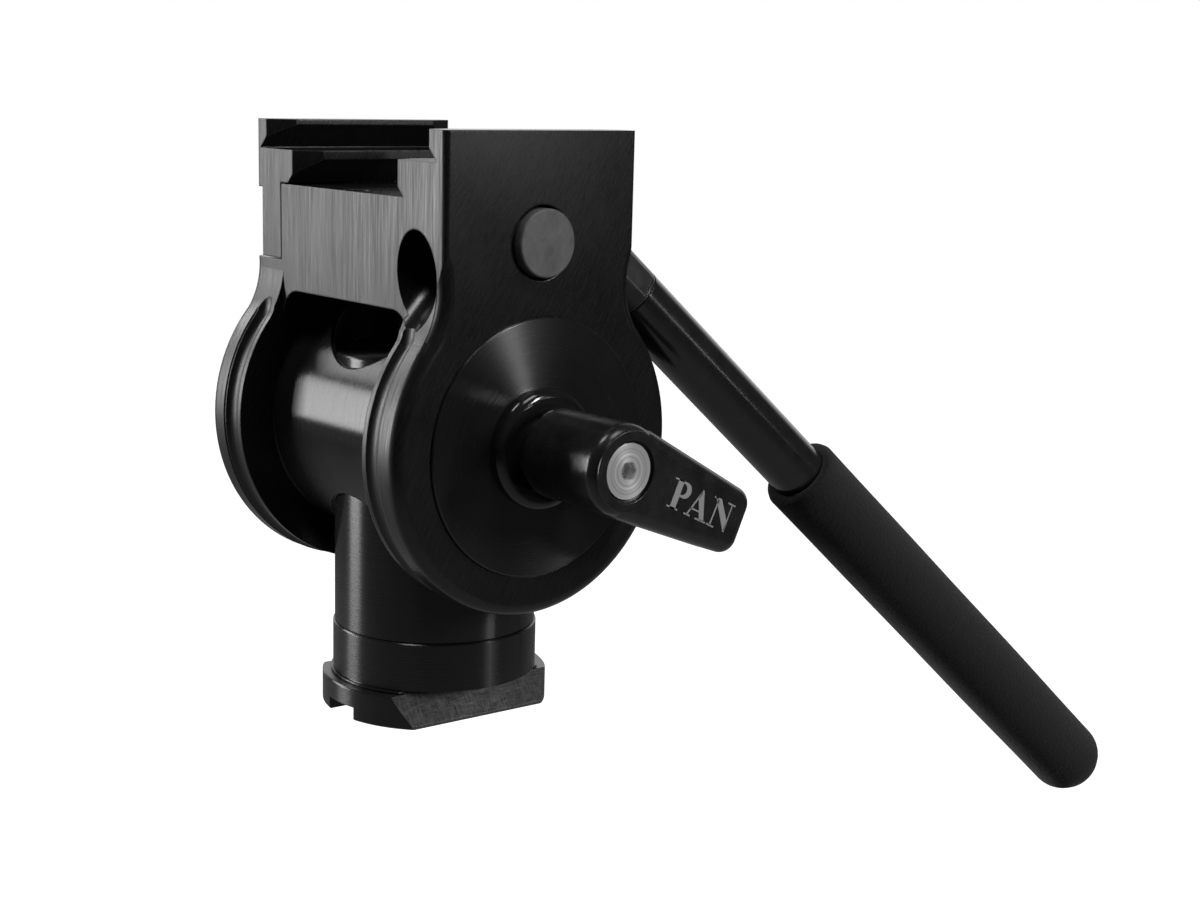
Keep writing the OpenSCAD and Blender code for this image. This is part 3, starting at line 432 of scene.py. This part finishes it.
# %% [markdown]
# ## Finishes
#
# Every finish starts the same way: a Principled BSDF whose plain numbers are set on its own
# sockets. Patterns reach only its colour, its roughness and its normal. They read Object
# coordinates, which stay with a piece when it moves.

# %% Helpers that start a finish, mix in it and close it
MICRON = 0.001 * MM
FILM_GREY = 0.034
WORN_AND_LIT_GREY = 0.10


def new_finish(name, **values):
    finish = bpy.data.materials.new(name)
    finish.use_nodes = True
    tree = finish.node_tree
    shader = tree.nodes["Principled BSDF"]
    for label, value in values.items():
        shader.inputs[label.replace("_", " ")].default_value = value
    place = add_node(tree, "ShaderNodeTexCoord").outputs["Object"]
    return finish, tree, shader, place


def place_group(tree, group, **values):
    inputs = {label.replace("_", " "): value for label, value in values.items()}
    return add_node(tree, "ShaderNodeGroup", inputs, node_tree=group).outputs


def grey(value):
    return (value, value, value * 1.02, 1)


def mix_colour(tree, share, dark, light):
    inputs = {0: share, 6: dark, 7: light}
    return add_node(tree, "ShaderNodeMix", inputs, data_type="RGBA").outputs[2]


def mix_greys(tree, share, greys):
    return mix_colour(tree, share, grey(greys[0]), grey(greys[1]))


def blend_values(tree, share, first, second):
    inputs = {0: share, 2: first, 3: second}
    return add_node(tree, "ShaderNodeMix", inputs, data_type="FLOAT").outputs[0]


def add_film(tree, tone, film, share):
    return mix_colour(tree, spread(tree, film["Clouds"], 0, share), tone, grey(FILM_GREY))


# Pales the tone along the edges: partly worn finish, partly a painted highlight.
def wear_and_light_edges(tree, tone, edges, share, worn_and_lit=WORN_AND_LIT_GREY):
    return mix_colour(tree, spread(tree, edges["Edge"], 0, share), tone, grey(worn_and_lit))


def relief(tree, height, depth, normal=None):
    inputs = {"Height": height, "Distance": depth, "Strength": 1.0}
    if normal is not None:
        inputs["Normal"] = normal
    return add_node(tree, "ShaderNodeBump", inputs).outputs[0]


def close_finish(finish, shader, colour, rough, normal=None):
    links = finish.node_tree.links
    links.new(colour, shader.inputs["Base Color"])
    links.new(rough, shader.inputs["Roughness"])
    if normal is not None:
        links.new(normal, shader.inputs["Normal"])
    print("finish", finish.name, "with", len(finish.node_tree.nodes), "nodes")
    return finish


# %% [markdown]
# ### The milled black of yoke and jaw
#
# The fronts were drawn over a belt, so fine lines run up and down. The cheeks' sides are as the
# cutter left them, with faint lines that lean, and the top was cut straight across. Separate
# materials could show that, but a CAD node keeps one, so the way a surface faces picks which marks
# it gets.

# %% Milled black
FRONT_LINES = (4200, 400, 90)
SIDE_LINES = (500, 3200, 260)
TOP_LINES = (260, 3600, 260)
SIDE_LEAN = (math.radians(30), 0, 0)
MILLED_GREYS = (0.008, 0.018)
SIDE_ROUGH, FRONT_ROUGH = (0.19, 0.22), (0.30, 0.55)
SIDE_GRAIN = 0.1
LINE_DEPTH = 8 * MICRON


def facing(tree):
    normal = add_node(tree, "ShaderNodeTexCoord").outputs["Normal"]
    return add_node(tree, "ShaderNodeSeparateXYZ", {0: normal}).outputs


def milled_black():
    finish, tree, shader, place = new_finish("milled_black", IOR=1.44)
    faces = facing(tree)
    front = remap(tree, calculate(tree, "ABSOLUTE", faces["Y"]), (0.75, 0.9))
    upward = remap(tree, faces["Z"], (0.6, 0.9))
    lean = {"Vector": place, "Rotation": SIDE_LEAN}
    leaning = add_node(tree, "ShaderNodeMapping", lean).outputs[0]
    drawn = place_group(tree, brush_lines, Vector=place, Squeeze=FRONT_LINES)["Lines"]
    cutter = place_group(tree, brush_lines, Vector=leaning, Squeeze=SIDE_LINES)["Lines"]
    top = place_group(tree, brush_lines, Vector=place, Squeeze=TOP_LINES)["Lines"]
    film = place_group(tree, bath_film, Vector=place)
    edges = place_group(tree, thin_and_lit_edges, Radius=0.35 * MM)
    marks = blend_values(tree, upward, blend_values(tree, front, cutter, drawn), top)
    tone = mix_greys(tree, marks, MILLED_GREYS)
    tone = wear_and_light_edges(tree, add_film(tree, tone, film, 0.1), edges, 0.5)
    rough_side = spread(tree, film["Clouds"], *SIDE_ROUGH)
    rough_front = spread(tree, drawn, *FRONT_ROUGH)
    rough = blend_values(tree, front, rough_side, rough_front)
    height = blend_values(tree, front, spread(tree, film["Specks"], 0, SIDE_GRAIN), drawn)
    normal = relief(tree, height, LINE_DEPTH, edges["Normal"])
    return close_finish(finish, shader, tone, rough, normal)


MILLED_BLACK = milled_black()

# %% [markdown]
# ### The turned black of barrel, post, foot and bushes
#
# A lathe leaves rings, and the light stretches across them into the bright wedges of a turned
# face. The rings alone could make the wedges if they were fine enough, but that takes a great many
# samples. The shader's anisotropy gives them at once. It needs to know which way the rings run, so
# a Tangent node goes round the axis.

# %% Rings and tangent round one axis
AXIS_WAYS = {"X": Vector((1, 0, 0)), "Z": Vector((0, 0, 1))}
QUARTER_TURN = 0.25


def turned_rings(tree, shader, place, axis, centre, density):
    shift = {"Vector": place, "Location": [-value for value in centre]}
    centred = add_node(tree, "ShaderNodeMapping", shift).outputs[0]
    way = AXIS_WAYS[axis]
    rings = place_group(
        tree, lathe_rings,
        Vector=centred, Across=Vector((1, 1, 1)) - way, Along=way, Density=density,
    )
    tangent = add_node(tree, "ShaderNodeTangent", direction_type="RADIAL", axis=axis)
    tree.links.new(tangent.outputs[0], shader.inputs["Tangent"])
    return rings["Rings"]


print("rings run round:", list(AXIS_WAYS))

# %% [markdown]
# The two slanted flats of the foot were cut across the turned work, and carry a coarse, paler
# hatch of crossed lines. They face along X and lean, which nothing else on post and foot does, so
# that picks them out.

# %% The hatch on the foot's dovetail flats
HATCH_ALONG, HATCH_DOWN = (2200, 400, 2200), (400, 2600, 400)
HATCH_GREYS = (0.006, 0.13)
HATCH_HEIGHT = 4
HATCH_ROUGH = (0.8, 0.45)


def hatched_flats(tree, place, tone, height, rough):
    faces = facing(tree)
    leaning = remap(tree, calculate(tree, "ABSOLUTE", faces["Z"]), (0.3, 0.4))
    sideways = remap(tree, calculate(tree, "ABSOLUTE", faces["X"]), (0.78, 0.82))
    flat = calculate(tree, "MULTIPLY", leaning, sideways)
    along = place_group(tree, brush_lines, Vector=place, Squeeze=HATCH_ALONG)["Lines"]
    down = place_group(tree, brush_lines, Vector=place, Squeeze=HATCH_DOWN)["Lines"]
    hatch = calculate(tree, "MAXIMUM", along, down)
    tone = mix_colour(tree, flat, tone, mix_greys(tree, hatch, HATCH_GREYS))
    height = blend_values(tree, flat, height, spread(tree, hatch, 0, HATCH_HEIGHT))
    rough = blend_values(tree, flat, rough, spread(tree, hatch, *HATCH_ROUGH))
    return tone, height, rough


print("hatch: crossed brush lines on the leaning flats")

# %% [markdown]
# One function makes all three turned finishes. The barrel's is the plain case. On post and foot
# the rings are wider and shallower, and the edges are hardly worn or lit by the painted edge
# highlight. The bosses are polished, so their light barely stretches.

# %% Turned black
TURNED_GREYS = (0.010, 0.016)


def turned_black(
    name, axis, centre,
    density=5200, rough=(0.25, 0.28), stretch=0.95, worn_and_lit=0.5, edge=0.3 * MM, depth=1.2 * MICRON,
    hatched=False,
):
    finish, tree, shader, place = new_finish(
        name, IOR=1.5, Anisotropic=stretch, Anisotropic_Rotation=QUARTER_TURN,
    )
    rings = turned_rings(tree, shader, place, axis, centre, density)
    film = place_group(tree, bath_film, Vector=place)
    edges = place_group(tree, thin_and_lit_edges, Radius=edge)
    tone = mix_greys(tree, rings, TURNED_GREYS)
    tone = wear_and_light_edges(tree, add_film(tree, tone, film, 0.2), edges, worn_and_lit)
    height, rough_map = rings, spread(tree, rings, *rough)
    if hatched:
        tone, height, rough_map = hatched_flats(tree, place, tone, height, rough_map)
    normal = relief(tree, height, depth, edges["Normal"])
    return close_finish(finish, shader, tone, rough_map, normal)


TILT_CENTRE = (0, 0, AXIS_HEIGHT)
POST_CENTRE = (0, 0, 0)
TURNED_ON_X = turned_black("turned_black_cross", "X", TILT_CENTRE)
TURNED_ON_Z = turned_black(
    "turned_black_upright", "Z", POST_CENTRE,
    density=3800, rough=(0.26, 0.28), worn_and_lit=0.1, edge=0.12 * MM, depth=0.8 * MICRON, hatched=True,
)
BOSS_BLACK = turned_black(
    "boss_black", "X", TILT_CENTRE,
    density=1500, rough=(0.1, 0.14), stretch=0.2, depth=0.5 * MICRON,
)

# %% [markdown]
# ### Satin black of levers, button, collar and tube
#
# These were blasted before anodising: no lines, a soft even gloss and a little cloud. A plain
# colour with one roughness comes near, but looks like plastic. A fine grain in the relief and
# clouds in the gloss make it metal. The tube was drawn through a die instead, so it has no grain.

# %% Satin black
def satin_black(name, greys, rough, grain=4 * MICRON):
    finish, tree, shader, place = new_finish(name, IOR=1.5)
    film = place_group(tree, bath_film, Vector=place, Cloud_Scale=260.0, Speck_Scale=5200.0)
    edges = place_group(tree, thin_and_lit_edges, Radius=0.3 * MM)
    tone = mix_greys(tree, film["Clouds"], greys)
    tone = wear_and_light_edges(tree, tone, edges, 0.35, worn_and_lit=0.09)
    normal = relief(tree, film["Specks"], grain, edges["Normal"])
    return close_finish(finish, shader, tone, spread(tree, film["Clouds"], *rough), normal)


LEVER_BLACK = satin_black("lever_black", (0.014, 0.024), (0.22, 0.28), grain=2 * MICRON)
TUBE_BLACK = satin_black("tube_black", (0.015, 0.022), (0.14, 0.18), grain=0.0)
COLLAR_BLACK = satin_black("collar_black", (0.022, 0.03), (0.3, 0.4))
BUTTON_BLACK = satin_black("button_black", (0.11, 0.19), (0.35, 0.5), grain=10 * MICRON)

# %% [markdown]
# ### Bright steel, bronze and nylon
#
# The lever's countersunk screw is bright, with rings on its head. A full Metallic would show only
# what it mirrors, which is a dim room, so the screw's is low and its colour pale. The same turned
# metal serves for the studs, pins and shoes inside, in steel or bronze.

# %% Turned metal
def turned_metal(name, colour, axis, centre, rough, density=4200, metal=0.9):
    finish, tree, shader, place = new_finish(
        name, Metallic=metal, Anisotropic=0.6, Anisotropic_Rotation=QUARTER_TURN,
    )
    rings = turned_rings(tree, shader, place, axis, centre, density)
    edges = place_group(tree, thin_and_lit_edges, Radius=0.2 * MM)
    in_groove = [0.5 * value for value in colour] + [1]
    tone = mix_colour(tree, rings, in_groove, list(colour) + [1])
    normal = relief(tree, rings, 5 * MICRON, edges["Normal"])
    return close_finish(finish, shader, tone, spread(tree, rings, *rough), normal)


STEEL = (0.62, 0.62, 0.63)
PALE_STEEL = (0.98, 0.98, 0.98)
STEEL_ON_X = turned_metal("steel_cross", STEEL, "X", TILT_CENTRE, (0.25, 0.45))
STEEL_ON_Z = turned_metal("steel_upright", STEEL, "Z", POST_CENTRE, (0.25, 0.45))
SCREW_STEEL = turned_metal(
    "screw_steel", PALE_STEEL, "X", TILT_CENTRE, (0.2, 0.45), density=2200, metal=0.3,
)
BRONZE = turned_metal("bronze", (0.55, 0.38, 0.2), "Z", POST_CENTRE, (0.3, 0.45))

# %% [markdown]
# The split liners in the cheeks and the plug in the tube are nylon: pale, a little yellow, dull
# and smooth. Clouds in colour and gloss are all that such a moulded part shows.

# %% Nylon
def nylon():
    finish, tree, shader, place = new_finish("nylon", Specular_IOR_Level=0.4)
    film = place_group(tree, bath_film, Vector=place, Cloud_Scale=300.0)
    tone = mix_colour(tree, film["Clouds"], (0.72, 0.71, 0.66, 1), (0.8, 0.79, 0.74, 1))
    return close_finish(finish, shader, tone, spread(tree, film["Clouds"], 0.45, 0.55))


NYLON = nylon()

# %% [markdown]
# ## Dress the CAD nodes
#
# Each CAD node gets its finish in its own material slot, and its mesh stays as it is. A table from
# finish to nodes is easier to check by eye than one call for each node.

# %% Give every CAD node its finish
NODES_WITH_FINISH = {
    MILLED_BLACK: ["yoke", "jaw"],
    TURNED_ON_X: ["barrel"],
    BOSS_BLACK: ["pan_bush", "tilt_bush"],
    TURNED_ON_Z: ["post", "foot"],
    LEVER_BLACK: ["pan_lever", "tilt_lever"],
    TUBE_BLACK: ["handle_tube"],
    COLLAR_BLACK: ["handle_collar"],
    BUTTON_BLACK: ["quick_release_button"],
    STEEL_ON_X: ["pan_stud", "tilt_stud", "jaw_guides", "drawbar", "button_spring"],
    SCREW_STEEL: ["pan_lever_screw", "tilt_lever_screw"],
    STEEL_ON_Z: ["foot_screws", "foot_dowels", "handle_stud"],
    BRONZE: ["pan_shoe", "tilt_plunger_up", "tilt_plunger_down"],
    NYLON: ["tilt_liner_near", "tilt_liner_far", "handle_plug"],
}
for finish, names in NODES_WITH_FINISH.items():
    for name in names:
        node = NODES[name]
        if not node.material_slots:
            node.data.materials.append(finish)
        for slot in node.material_slots:
            slot.material = finish
print("finished nodes:", sum(len(names) for names in NODES_WITH_FINISH.values()))

# %% [markdown]
# ## The foam grip
#
# The handle ends in a sleeve of closed-cell foam. Foam is black, very dull and full of cells under
# a millimetre wide. Modelling them would take millions of faces, so a Voronoi texture sinks them
# in the relief and darkens the colour in their hollows as painted shade. A little sheen stands for
# the thin walls between them.

# %% Foam finish
CELL_SCALE = 2600.0
CELL_SHADE_GREYS = (0.016, 0.008)
CELL_DEPTH, LUMP_DEPTH = 60 * MICRON, 50 * MICRON
DUSTY_GREY = 0.022


def cell_foam():
    finish, tree, shader, place = new_finish(
        "cell_foam", Specular_IOR_Level=0.25, Sheen_Weight=0.15, Sheen_Roughness=0.6,
    )
    cell_inputs = {"Vector": place, "Scale": CELL_SCALE}
    cells = add_node(tree, "ShaderNodeTexVoronoi", cell_inputs, feature="F1").outputs["Distance"]
    film = place_group(tree, bath_film, Vector=place, Cloud_Scale=120.0, Speck_Scale=1500.0)
    # Painted shade: the colour darkens in the hollows where the cells sink.
    tone = mix_greys(tree, spread(tree, cells, 0, 0.8), CELL_SHADE_GREYS)
    tone = mix_colour(tree, spread(tree, film["Clouds"], 0, 0.4), tone, grey(DUSTY_GREY))
    lumpy = relief(tree, film["Specks"], LUMP_DEPTH)
    normal = relief(tree, cells, -CELL_DEPTH, lumpy)
    return close_finish(finish, shader, tone, spread(tree, film["Clouds"], 0.82, 0.95), normal)


CELL_FOAM = cell_foam()

# %% [markdown]
# The sleeve is round, with a rolled lip where the tube enters and a full round end. A cylinder
# with a bevelled rim would do for the end, but not for the lip, so its profile is drawn once and
# turned with one full spin about the handle's axis. It stays inside the room that its CAD solid
# holds.

# %% Spin the sleeve from its profile
GRIP_FROM, GRIP_TO = 64.3 * MM, 180.7 * MM
GRIP_R = 8.15 * MM
END_R = 7.0 * MM
HOLE_R = 5.83 * MM
LIP = 1 * MM
WALL_STEPS = 46
END_STEPS = 12
SPIN_STEPS = 96


def grip_profile():
    points = [(HOLE_R, GRIP_FROM + 2 * LIP), (HOLE_R, GRIP_FROM + 0.2 * LIP)]
    points += [(HOLE_R + 0.3 * LIP, GRIP_FROM), (GRIP_R - LIP, GRIP_FROM)]
    points += [(GRIP_R - 0.3 * LIP, GRIP_FROM + 0.3 * LIP), (GRIP_R, GRIP_FROM + LIP)]
    wall = GRIP_TO - END_R - GRIP_FROM - LIP
    for step in range(1, WALL_STEPS):
        points.append((GRIP_R, GRIP_FROM + LIP + wall * step / WALL_STEPS))
    for step in range(END_STEPS + 1):
        angle = math.radians(90 * step / END_STEPS)
        out = GRIP_R - END_R + END_R * math.cos(angle)
        points.append((out, GRIP_TO - END_R + END_R * math.sin(angle)))
    points.append((0.0, GRIP_TO))
    return points


grip_bm = bmesh.new()
profile = [grip_bm.verts.new((radius, 0, along)) for radius, along in grip_profile()]
profile_edges = [grip_bm.edges.new(pair) for pair in zip(profile, profile[1:])]
bmesh.ops.spin(
    grip_bm, geom=profile + profile_edges, cent=(0, 0, 0), axis=(0, 0, 1),
    angle=math.tau, steps=SPIN_STEPS, use_merge=True,
)
bmesh.ops.remove_doubles(grip_bm, verts=grip_bm.verts, dist=1e-6)
print("sleeve profile:", len(profile), "points,", SPIN_STEPS, "steps round")

# %% [markdown]
# A foam sleeve is never quite even along its length. Two slow waves sink its wall by at most 0.16
# mm, which shows as a faint unevenness in its light. A displacement texture could do it too, but
# waves of two lengths are simpler and never look like a pattern. The sleeve is shaped upright and
# then put on the handle with one transform.

SLOW_WAVE, QUICK_WAVE = 17 * MM, 7.3 * MM
QUICK_SHARE, QUICK_START = 0.6, 1.3
WAVE_DEPTH = 0.05 * MM
WALL_DEPTH = 1.5 * MM

for vert in grip_bm.verts:
    out = math.hypot(vert.co.x, vert.co.y)
    if out > GRIP_R - WALL_DEPTH:
        slow = math.sin(vert.co.z / SLOW_WAVE)
        quick = QUICK_SHARE * math.sin(vert.co.z / QUICK_WAVE + QUICK_START)
        sink = WAVE_DEPTH * (1 + QUICK_SHARE - slow - quick) / out
        vert.co.x -= vert.co.x * sink
        vert.co.y -= vert.co.y * sink
bmesh.ops.recalc_face_normals(grip_bm, faces=grip_bm.faces)
handle_turn = HANDLE_WAY.to_track_quat("Z", "Y").to_matrix().to_4x4()
handle_place = Matrix.Translation(HANDLE_ROOT) @ handle_turn
bmesh.ops.transform(grip_bm, matrix=handle_place, verts=grip_bm.verts)
for face in grip_bm.faces:
    face.smooth = True


def new_piece(name, piece_bm, finish):
    mesh = bpy.data.meshes.new(name)
    piece_bm.to_mesh(mesh)
    piece_bm.free()
    mesh.materials.append(finish)
    piece = bpy.data.objects.new(name, mesh)
    bpy.context.scene.collection.objects.link(piece)
    print(name, "has", len(mesh.polygons), "faces")
    return piece


foam_sleeve = new_piece("foam_sleeve", grip_bm, CELL_FOAM)
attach(foam_sleeve, "tilt_body")
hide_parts("grip")
print("foam sleeve is", round((GRIP_TO - GRIP_FROM) / MM, 1), "mm long")

# %% [markdown]
# ## The word on the pan lever
#
# The lever's outer face says what it locks, in light letters cut through the black finish. What
# shows in them is bare metal, dulled by the cutter: a pale grey with fine specks, and no shine.

# %% Letter finish
LETTER_GREYS = (0.42, 0.57)


def bare_letter():
    finish, tree, shader, place = new_finish("bare_letter", IOR=1.5)
    film = place_group(tree, bath_film, Vector=place, Cloud_Scale=900.0, Speck_Scale=7000.0)
    tone = mix_greys(tree, film["Specks"], LETTER_GREYS)
    return close_finish(finish, shader, tone, spread(tree, film["Clouds"], 0.5, 0.65))


LETTER_METAL = bare_letter()

# %% [markdown]
# The letters are plain capitals with serifs. Blender's own font has no serifs, and a text object
# with another one would read a font file. So each letter is a few bars, given by their corners in
# millimetres along and across the lever, with a thin bar for each serif. The bowl of the P is an
# edge, spun through half a turn.

# %% Bars, serifs and the bowl
CAP = 2.65
SERIF = 0.28
BOWL_CENTRE = (13.04, 1.2)
BOWL_INNER, BOWL_OUTER, BOWL_SWELL = 1.0, 1.45, 0.7
BOWL_STEPS = 20
BARS = (
    # the stem of the P, and the two arms that join its bowl
    ((11.42, -CAP), (12.8, -CAP), (12.8, CAP), (11.42, CAP)),
    ((12.75, 2.2), (13.04, 2.2), (13.74, CAP), (12.75, CAP)),
    ((12.75, -0.25), (13.74, -0.25), (13.04, 0.2), (12.75, 0.2)),
    # the thin leg, the thick leg and the crossbar of the A
    ((15.72, -2.5), (16.1, -2.5), (17.9, 1.9), (17.85, CAP)),
    ((19.27, -2.5), (20.47, -2.5), (18.14, CAP), (17.85, CAP), (17.42, 0.98)),
    ((16.3, -1.3), (18.7, -1.3), (18.4, -1.0), (16.4, -1.0)),
    # the left post, the thick slope and the right post of the N
    ((21.98, -2.5), (22.33, -2.5), (22.5, 2.3), (22.15, 2.3)),
    ((25.92, -CAP), (26.1, -CAP), (25.87, -0.5), (22.95, CAP), (21.3, CAP), (22.15, 1.75)),
    ((25.85, -2.2), (26.12, -2.2), (26.12, 2.5), (25.85, 2.5)),
)
TOP, FOOT = 1, -1
SERIFS = (
    (10.5, 12.8, TOP), (10.6, 13.42, FOOT),
    (15.08, 16.74, FOOT), (18.1, 20.92, FOOT),
    (21.26, 23.25, FOOT), (21.08, 22.1, TOP), (24.8, 26.8, TOP),
)


def bar(bm, corners):
    bm.faces.new([bm.verts.new((along, across, 0)) for along, across in corners])


def serif(bm, from_x, to_x, way):
    outer, inner = way * CAP, way * (CAP - SERIF)
    bar(bm, [(from_x, outer), (to_x, outer), (to_x, inner), (from_x, inner)][::-way])


def bowl(bm, centre, inner, outer, swell):
    ends = [bm.verts.new((centre[0], centre[1] - radius, 0)) for radius in (outer, inner)]
    rim = bm.edges.new(ends)
    middle = (*centre, 0)
    bmesh.ops.spin(
        bm, geom=ends + [rim], cent=middle, axis=(0, 0, 1), angle=math.pi, steps=BOWL_STEPS,
    )
    for vert in bm.verts:
        if abs((vert.co - Vector(middle)).length - outer) < 1e-4:
            vert.co.x += swell


letters_bm = bmesh.new()
bowl(letters_bm, BOWL_CENTRE, BOWL_INNER, BOWL_OUTER, BOWL_SWELL)
for corners in BARS:
    bar(letters_bm, corners)
for serif_values in SERIFS:
    serif(letters_bm, *serif_values)
bmesh.ops.recalc_face_normals(letters_bm, faces=letters_bm.faces)
print("letters start from", len(letters_bm.faces), "flat faces")

# %% [markdown]
# Letters could be a mask in the lever's material, but thin solid ones keep a sharp outline from
# close by. The flat faces are extruded and sunk into the lever's face, so that only two hundredths
# of a millimetre stand proud. They ride on the clamp's body, so they turn with the lever.

# %% Set the letters on the lever's face
LEVER_DROOP = math.radians(25.4)
LETTER_THICKNESS = 0.03
LETTER_SINK = 0.01

raised = bmesh.ops.extrude_face_region(letters_bm, geom=list(letters_bm.faces))["geom"]
raised = [item for item in raised if isinstance(item, bmesh.types.BMVert)]
bmesh.ops.translate(letters_bm, verts=raised, vec=(0, 0, LETTER_THICKNESS))
bmesh.ops.translate(letters_bm, verts=list(letters_bm.verts), vec=(0, 0, -LETTER_SINK))
along_lever = Vector((0, math.cos(LEVER_DROOP), -math.sin(LEVER_DROOP)))
across_lever = Vector((0, math.sin(LEVER_DROOP), math.cos(LEVER_DROOP)))
out_of_lever = Vector((1, 0, 0))
letter_turn = Matrix((along_lever, across_lever, out_of_lever)).transposed().to_4x4()
letter_root = Matrix.Translation((LEVER_FACE, 0, AXIS_HEIGHT))
letter_place = letter_root @ letter_turn @ Matrix.Scale(MM, 4)
bmesh.ops.transform(letters_bm, matrix=letter_place, verts=list(letters_bm.verts))
bmesh.ops.recalc_face_normals(letters_bm, faces=list(letters_bm.faces))
lever_word = new_piece("lever_word", letters_bm, LETTER_METAL)
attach(lever_word, "pan_clamp")

# %% [markdown]
# ## Last settings
#
# The Standard view shows each colour about as it is written.

# %% View
bpy.context.scene.view_settings.view_transform = "Standard"
